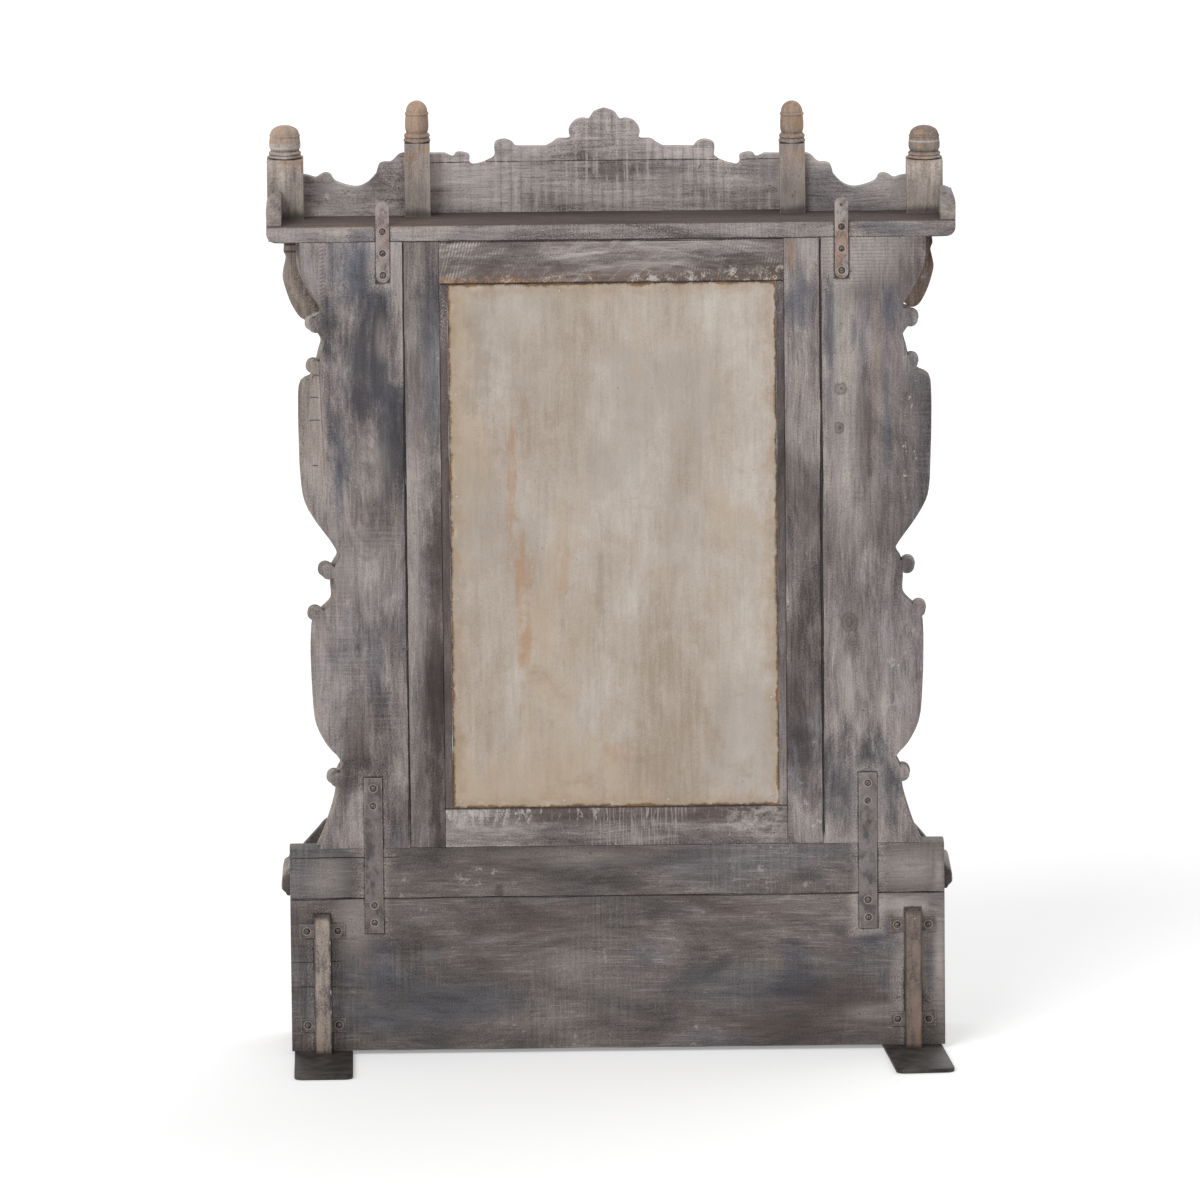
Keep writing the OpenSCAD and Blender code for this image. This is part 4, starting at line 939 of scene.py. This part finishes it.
def post_marks(f):
    """The outer posts are paler than the inner ones, and every foot is grey, with painted shade
    darkest at its base in the tray
    """
    outer = abs(f.x).fade(0.35, 0.4)
    f.wash(tint(140, 128, 121), (1 - outer) * 0.5)
    f.wash(tint(188, 175, 165), outer
           * (f.cloud + f.figure + f.z.fade(1.32, 1.37, 0, 0.2)).fade(-0.2, 0.1, 0, 0.7))
    f.wash(BROWN, f.z.fade(1.374, 1.378) * f.patchy(-0.15, 0.1, 0.3, 0.75))
    head = outer * f.z.fade(1.348, 1.352)
    f.wash(tint(112, 100, 92), head * f.x.fade(0.1, -0.1, 0, 0.7))
    bands = f.drawn((0.3, 0.3, 1), 60, 60, 4, 0.6) + f.grit * 0.2
    f.wash(BROWN, f.z.fade(1.33, 1.35) * bands.fade(0.46, 0.56, 0, 0.75))
    f.lay(CHALK, outer * abs(f.z - 1.3695 + f.cloud * 0.002).fade(0.0016, 0.0006)
          * f.patchy(-0.2, 0, 0.3, 0.8))
    f.lay(tint(118, 110, 107), (f.z + f.cloud * 0.05).fade(1.335, 1.3, 0, 0.35))
    # painted shade at the foot of each post, where it stands in the tray
    f.lay(tint(64, 57, 55), (f.z + f.cloud * 0.03).fade(1.28, 1.266, 0, 0.8))


def bracket_marks(f):
    """Dark bands on the upper end of the left bracket"""
    bands = (f.z + f.cloud * 0.004).wave(0.011, 0.2, 0.8) * f.z.fade(1.2, 1.215)
    f.lay(BLACK, bands * 0.7)


def liner_marks(f):
    """Dirt in the seams of the strips beside the panel, and chalk near their tops"""
    f.wash(tint(78, 66, 62), f.x.fade(-0.1, 0.1, 0.3, 0.75))
    f.lay(BLACK, abs(abs(f.x) - 0.2575).fade(0.0018, 0.0008) * f.patchy(-0.15, 0.1, 0, 0.7))
    f.lay(CHALK, f.z.fade(1.05, 1.16) * f.patchy(0.02, 0.15, 0, 0.7))


def behind(f):
    """Timber that shows at the back is greyer and dirtier than on the front"""
    f.wash(tint(72, 64, 60), (f.y + f.cloud * 0.03).fade(-0.075, -0.045, 0, 0.85))


def facing_marks(f):
    """The facings are paler where they meet the boards behind them"""
    f.wash(tint(158, 148, 141), f.y.fade(facing_back - 0.006, facing_back - 0.002, 0, 0.8))


facing_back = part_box("wing_facing_left")[1].y
timber("base_rear_lower_plank", "lower_plank", "X", LOW, 1, blue=0.55, brown=0.6, white=0.4,
       saw=0.14, pitch=230, cloudy=0.75, streak=0.4,
       cracks=((410, 500, 143, 0.6), (410, 500, 105, 0.6), (-500, 500, 239.5, 0.8)),
       marks=((400, 200, 30, 50, PALE, 50), (360, 130, 20, 40, BLUE, 50),
              (120, 190, 80, 30, UMBER, 60), (-200, 100, 120, 30, BLUE, 35),
              (220, 70, 80, 30, BLUE, 40), (-180, 190, 70, 30, UMBER, 50),
              (-270, 130, 30, 60, SLATE, 60), (-410, 222, 50, 12, PALE, 60),
              (-385, 175, 25, 30, tint(52, 53, 62), 75), (-350, 80, 50, 30, UMBER, 40),
              (-485, 130, 12, 80, PALE, 60), (-455, 150, 8, 50, SLATE, 60),
              (-400, 55, 50, 12, PALE, 50), (-420, 110, 10, 50, PALE, 40)),
       beside=("lower_strap_left", "lower_strap_right", "stand_tube_left", "stand_tube_right"))
timber("base_rear_upper_plank", "upper_plank", "X", LOW, 2, blue=0.4, brown=0.45, white=0.4,
       saw=0.14, pitch=230, cloudy=0.8, streak=0.45, knots=((177, 252, 12),),
       cracks=((320, 500, 303, 0.6), (-500, 500, 240.5, 0.6)),
       marks=((440, 270, 30, 30, PALE, 40), (80, 300, 100, 12, PALE, 35),
              (-440, 280, 50, 30, PALE, 55), (-300, 270, 50, 30, tint(60, 58, 62), 50),
              (-485, 270, 8, 40, PALE, 50)), beside=("lower_strap_left", "lower_strap_right"))
timber("stile_left", "left_stile", "Z", MIDDLE, 3, blue=0.5, brown=0.5, white=0.6,
       cracks=((320, 1250, 310.5, 0.8),),
       marks=((268, 620, 14, 320, tint(70, 58, 55), 85), (302, 620, 11, 240, PALE, 50),
              (290, 940, 20, 100, tint(108, 100, 98), 60), (293, 1170, 12, 100, PALE, 50),
              (270, 1050, 12, 100, BLUE, 60), (285, 400, 20, 50, UMBER, 40)))
timber("stile_right", "right_stile", "Z", MIDDLE, 4, blue=0.6, brown=0.5, white=0.7,
       cracks=((320, 1250, -310.5, 0.8),),
       marks=((-268, 1215, 8, 35, RUST, 50), (-280, 1150, 20, 60, BLUE, 70),
              (-290, 1220, 20, 30, PALE, 40), (-280, 970, 20, 90, PALE, 35),
              (-285, 420, 30, 80, tint(66, 58, 58), 80), (-270, 600, 12, 100, UMBER, 50)))
timber("top_rail", "top_rail", "X", MIDDLE, 5, blue=0.3, brown=0.5, streak=0.9,
       cracks=((-300, 300, 1237, 0.9),), extra=rail_marks)
timber("bottom_rail", "bottom_rail", "X", MIDDLE, 6, blue=0.4, brown=0.6, white=0.6,
       extra=foot_rail_marks)
timber("wing_left", "left_wing", "Z", MIDDLE, 7, blue=0.4, brown=0.5, white=0.4, saw=0.25,
       cracks=((320, 1250, 312.2, 0.8),),
       marks=((375, 1190, 50, 80, BLUE, 90), (375, 1060, 60, 140, tint(66, 63, 67), 95),
              (340, 960, 20, 100, tint(72, 70, 76), 75), (410, 880, 12, 90, BLUE, 75),
              (365, 900, 22, 45, PALE, 50), (345, 1090, 8, 30, PALE, 40),
              (370, 740, 40, 40, PALE, 50), (390, 500, 30, 80, UMBER, 45),
              (360, 600, 20, 60, BLUE, 40), (400, 420, 25, 25, tint(66, 58, 56), 50)),
       beside=("upper_strap_left", "lower_strap_left"), extra=left_wing_marks)
timber("wing_right", "right_wing", "Z", MIDDLE, 8, blue=0.4, white=0.6, saw=0.12,
       knots=((-342, 1010, 8), (-340, 950, 7), (-352, 655, 10)), cracks=((320, 1250, -312, 1.4),),
       marks=((-370, 1220, 60, 45, PALE, 80), (-350, 1050, 22, 120, PALE, 75),
              (-325, 1080, 6, 90, BLUE, 70), (-362, 1090, 4, 25, BLUE, 60),
              (-412, 1130, 14, 30, BLUE, 70), (-375, 1070, 6, 40, BLUE, 50),
              (-395, 1030, 8, 120, tint(150, 136, 128), 70), (-355, 850, 30, 70, PALE, 70),
              (-425, 930, 25, 130, tint(142, 133, 130), 70), (-375, 950, 10, 100, UMBER, 35),
              (-345, 900, 20, 120, PALE, 50), (-410, 970, 5, 90, BLUE, 60),
              (-360, 600, 25, 60, PALE, 40), (-380, 400, 70, 80, tint(68, 67, 73), 85)),
       beside=("upper_strap_right", "lower_strap_right"), extra=right_wing_marks)
timber("cornice_board", "cornice", "X", HIGH, 9, blue=0.3, brown=0.25, white=0.6, cloudy=0.65,
       streak=0.6, marks=((360, 1250, 30, 20, BLUE, 60), (-420, 1250, 50, 10, BLUE, 60)),
       beside=("upper_strap_left", "upper_strap_right"), extra=cornice_marks)
timber("crest_centre_lower", "crest_lower", "X", CREST, 10, blue=0.3, cloudy=0.7,
       cracks=((-300, 300, 1339.7, 0.5),),
       marks=((-10, 1315, 40, 25, UMBER, 60), (-140, 1290, 30, 30, UMBER, 40),
              (200, 1280, 50, 8, CHALK, 60), (-220, 1330, 30, 20, BLUE, 40)), extra=crest_marks,
       carved=True)
timber("crest_centre_upper", "crest_upper", "X", CREST, 11, blue=0.25, brown=0.3, white=0.4,
       cloudy=0.8, knots=((39.7, 1342.5, 8),), cracks=((-300, 300, 1340.3, 0.4),),
       marks=((0, 1425, 30, 8, UMBER, 50),), extra=crest_marks, carved=True)
timber("crest_side_", "crest_side", "X", CREST, 12, blue=0.5, brown=0.3, white=0.9, streak=0.5,
       marks=((400, 1320, 30, 40, CHALK, 50), (-410, 1310, 30, 30, CHALK, 40)))
timber("post_", "post", "Z", WARM, 13, brown=0.3, white=0.3, cloudy=0.8, extra=post_marks,
       carved=True)
timber("cornice_bracket_left", "left_bracket", "Z", DARK, 14, blue=0.1, brown=0.35, white=0.3,
       extra=bracket_marks)
timber("cornice_bracket_right", "right_bracket", "Z", RUSTY, 19, blue=0.1, brown=0.35, white=0.8)
# the foot scrolls' dark timber is painted shade
timber("foot_scroll_", "foot_scroll", "Z", SHADED_TIMBER, 20, blue=0.2, brown=0.5, white=0.2)
timber(("base_pilasters", "mirror_border", "column_"), "pale_upright", "Z", FRONT, 15, carved=True)
timber("wing_facing_", "wing_facing", "Z", FRONT, 22, blue=0.3, brown=0.3, extra=facing_marks,
       carved=True)
timber(("base_sill", "base_floor", "base_front_panel", "base_rosettes", "ledge_mouldings",
        "plinth_board", "cusped_arch", "frieze_beam", "cornice_fascia", "cornice_dentils"),
       "pale_level", "X", FRONT, 16, extra=behind, carved=True)
timber(("base_side_", "cornice_upstand_"), "pale_deep", "Y", FRONT, 17, carved=True)
timber("panel_liners", "liner", "Z", MIDDLE, 18, blue=0.4, brown=0.6, white=0.3, extra=liner_marks)


# The pieces, each in place of its node

TURNED = ("column_", "post_", "base_rosettes")
RIMMED = ("cusped_arch", "crest_", "cornice_bracket_", "foot_scroll_")

slots = {m["slot"]: m.get("nodes", []) for m in frame["record"].get("materials", [])}
slot_of = {node: slot for slot, members in slots.items() for node in members}

pieces = {}
for node in nodes:
    finish = next((made for starts, made in timbers.items() if node.startswith(starts)), None)
    if finish:
        sharp = {"edge": 0, "uneven": 0} if node.startswith(TURNED) else {}
        pieces[node] = worn(node, finish, slot_of.get(node, "old_timber"),
                            rimmed=node.startswith(RIMMED), **sharp)

low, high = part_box("backing_panel")
dress(clean_copy("backing_panel"), panel_finish(low, high), "cream_panel", "backing_panel")
low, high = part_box("mirror_glass")
dress(clean_copy("mirror_glass"), mirror_finish(low, high), "mirror", "mirror_glass")
# name of the finish, steel, rust, seed, how rusty, and the height it is rustier below
straps = {
    "upper_strap_left": ("grey_strap", tint(160, 148, 146), tint(140, 108, 90), 1, 0.35),
    "upper_strap_right": ("rusty_strap", tint(166, 156, 152), tint(150, 122, 104), 2, 0.75, 1.25),
    "lower_strap_left": ("left_long_strap", tint(119, 111, 109), tint(110, 90, 80), 3, 0.3),
    "lower_strap_right": ("right_long_strap", tint(122, 116, 115), tint(116, 96, 86), 4, 0.3),
}
strap_heads = heads_of(nodes["strap_screws"])
for node, values in straps.items():
    low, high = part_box(node)
    mine = [head for head in strap_heads if low.x < head.x < high.x and low.z < head.z < high.z]
    worn(node, steel_finish(*values, screws=mine), "old_steel", edge=0.0006, uneven=0.0004)
stand_steel = steel_finish("stand_strap", tint(116, 109, 106), tint(110, 86, 72), 5,
                           screws=heads_of(nodes["stand_screws"]))
worn("stand_straps", stand_steel, "old_steel", edge=0.0006, uneven=0)
pin_steel = steel_finish("pin", tint(164, 150, 136), tint(122, 92, 70), 6, metal=0.1)
worn("panel_pins", pin_steel, slot_of.get("panel_pins", "screw_steel"), edge=0, uneven=0)
heads = screw_finish()
for node in ("strap_screws", "stand_screws"):
    slotted(worn(node, heads, "screw_steel", edge=0, uneven=0))
for side, colour, seed, chipped in (("left", tint(146, 134, 126), 1, 0.01),
                                    ("right", tint(112, 98, 91), 2, -0.08)):
    low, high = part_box("stand_tube_" + side)
    worn("stand_tube_" + side, tube_finish(side + "_tube", colour, seed, chipped, low, high),
         "tube_paint", edge=0.0012, uneven=0.0004)
plates = plate_finish()
for node in ("stand_plate_left", "stand_plate_right"):
    worn(node, plates, "black_steel", edge=0.001, uneven=0.0004)


# Carving, joined to the pieces it is cut from

leaf, boss = carved_leaf(), carved_boss()
# how much of its step a leaf or a bead fills
LEAF_SHARE, BEAD_SHARE = 0.92, 0.88
SIDES = (-1, 1)

# lotus leaves that hang from the cornice's front, and stand round the base's ledge
low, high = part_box("cornice_fascia")
count = 44
size = ((high.x - low.x) / count * LEAF_SHARE, 0.008, 0.04)
carve("cornice_fascia", leaf, [
    at(x, high.y - 0.021, low.z + 0.047, spin=180, lean=-22, size=size)
    for x in spread(low.x, high.x, count)])
low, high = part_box("ledge_mouldings")
count = 50
step = (high.x - low.x) / count
size = (step * LEAF_SHARE, 0.008, 0.028)
around = [at(x, low.y + 0.002, low.z + 0.003, lean=-9, size=size)
          for x in spread(low.x, high.x, count)]
for x, turn in ((low.x + 0.002, -90), (high.x - 0.002, 90)):
    around += [at(x, low.y + step * (i + 0.6), low.z + 0.003, lean=-9, turn=turn, size=size)
               for i in range(7)]
carve("ledge_mouldings", leaf, around)

# beads and small flowers along the frieze, beads round the mirror
low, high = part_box("frieze_beam")
count = 41
bead = (high.x - low.x) / count * BEAD_SHARE
carve("frieze_beam", boss, [
    at(x, low.y, z, size=(bead, 0.01, bead))
    for x in spread(low.x, high.x, count) for z in (low.z + 0.008, high.z - 0.007)])
petals = []
for x in spread(low.x, high.x, 9):
    petals += flower(x, low.y + 0.001, (low.z + high.z) / 2, (high.z - low.z) / 2 - 0.015, 8,
                     deep=0.35)
carve("frieze_beam", leaf, petals)

low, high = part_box("mirror_border")
inset, pitch, size = 0.017, 0.0165, (0.0135, 0.009, 0.0135)
wide, tall = high.x - low.x - 2 * inset, high.z - low.z - 2 * inset
across, up = int(wide / pitch), int(tall / pitch)
beads = [at(low.x + inset + wide * i / across, low.y + 0.0005, z, size=size)
         for i in range(across + 1) for z in (low.z + inset, high.z - inset)]
beads += [at(x, low.y + 0.0005, low.z + inset + tall * i / up, size=size)
          for i in range(1, up) for x in (low.x + inset, high.x - inset)]
carve("mirror_border", boss, beads)

# the base: a flower on each boss, sprays in the corners of its fields, flowers on its pilasters
low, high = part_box("base_rosettes")
middle, r = (low.z + high.z) / 2, (high.z - low.z) / 2
bosses = (low.x + r, (low.x + high.x) / 2, high.x - r)
petals, sprays = [], []
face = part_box("base_front_panel")[0].y + 0.006
for x in bosses:
    petals += flower(x, low.y + 0.0075, middle, r * 0.98, 12, deep=0.16)
    petals += flower(x, low.y + 0.0035, middle, r * 0.62, 8, deep=0.22)
    for side in SIDES:
        for rise in SIDES:
            corner = at(x + side * 0.118, face, middle + rise * 0.062,
                        spin=side * (90 + rise * 52) + 180)
            sprays += [corner @ at(0, 0, 0, spin=turn, size=(0.015, 0.008, tall))
                       for turn, tall in ((-46, 0.036), (-22, 0.046), (0, 0.056), (22, 0.046),
                                          (46, 0.036))]
carve("base_rosettes", leaf, petals)
carve("base_front_panel", leaf, sprays)
low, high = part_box("base_pilasters")
count = 4
edge = 0.0165
sprays = []
for i in range(count):
    x = low.x + edge + (high.x - low.x - 2 * edge) * i / (count - 1)
    for z in spread(low.z, high.z, 3):
        sprays += flower(x, low.y + 0.001, z, 0.014, 6)
        sprays += [at(x, low.y + 0.001, z + rise * 0.017, spin=spin, size=(0.009, 0.006, 0.018))
                   for rise, spin in ((1, 0), (-1, 180))]
carve("base_pilasters", leaf, sprays)

# flowers on the arch's shoulders with leaves that follow its foils
low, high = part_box("cusped_arch")
front = low.y + 0.003
petals = []
for side in SIDES:
    petals += flower(side * 0.286, front, 1.152, 0.032, 10)
    petals += flower(side * 0.286, front - 0.002, 1.152, 0.017, 6)
    petals += flower(side * 0.166, front, 1.17, 0.016, 8)
    for i in range(4):
        petals += [
            at(side * (0.205 + 0.0155 * i), front, 1.166 - 0.0011 * i * i,
               spin=side * (62 + 7 * i), size=(0.012, 0.007, 0.026)),
            at(side * (0.13 - 0.018 * i), front, 1.171 + 0.0006 * i, spin=-side * 75,
               size=(0.011, 0.007, 0.024)),
            at(side * (0.328 + 0.002 * i), front, 1.118 - 0.026 * i, spin=180 - side * 8,
               size=(0.015 - 0.001 * i, 0.007, 0.03))]
carve("cusped_arch", leaf, petals)

# flowers on the four faces of each cap, and leaves round its bell and round the column's foot
for side in ("left", "right"):
    low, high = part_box("column_capital_" + side)
    x, y, half = (low.x + high.x) / 2, (low.y + high.y) / 2, (high.x - low.x) / 2
    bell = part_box("column_shaft_" + side)[1].z + 0.012
    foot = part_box("column_foot_" + side)[0].z + 0.045
    petals = []
    for turn in (0, 90, 180, 270):
        out = Matrix.Rotation(radians(turn), 4, "Z") @ Vector((0, -half, 0))
        for r, count, deep in ((0.036, 10, 0.25), (0.018, 6, 0.5)):
            petals += flower(x + out.x, y + out.y, high.z - 0.046, r, count, turn=turn, deep=deep)
    petals += [at(x, y, bell, turn=30 * i)
               @ at(0, -0.0275, 0, lean=14, size=(0.0155, 0.008, 0.05)) for i in range(12)]
    carve("column_capital_" + side, leaf, petals)
    carve("column_foot_" + side, leaf, [
        at(x, y, foot, turn=30 * i + 15)
        @ at(0, -0.029, 0, lean=10, size=(0.017, 0.012, 0.052)) for i in range(12)])

# a flower and vines on the crest, vines in the fields of the wings
low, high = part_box("crest_centre_lower")
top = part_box("crest_centre_upper")[1]
x, z = (low.x + high.x) / 2, top.z - 0.056
carve("crest_centre_upper", leaf, flower(x, low.y + 0.004, z, 0.042, 12, deep=0.2)
      + flower(x, low.y + 0.002, z, 0.024, 8))
for turn, side in ((0, 1), (180, -1)):
    running_scroll("crest_centre_lower", (x + side * 0.034, low.y + 0.003, low.z + 0.046), turn, 4,
                   0.0215)
for side, sign in (("left", 1), ("right", -1)):
    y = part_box("wing_facing_" + side)[0].y + 0.004
    for z, r in ((0.487, 0.034), (0.812, 0.036)):
        running_scroll("wing_facing_" + side, (sign * 0.372, y, z), -90, 3, r)
for shape in (leaf, boss):
    bpy.data.objects.remove(shape)
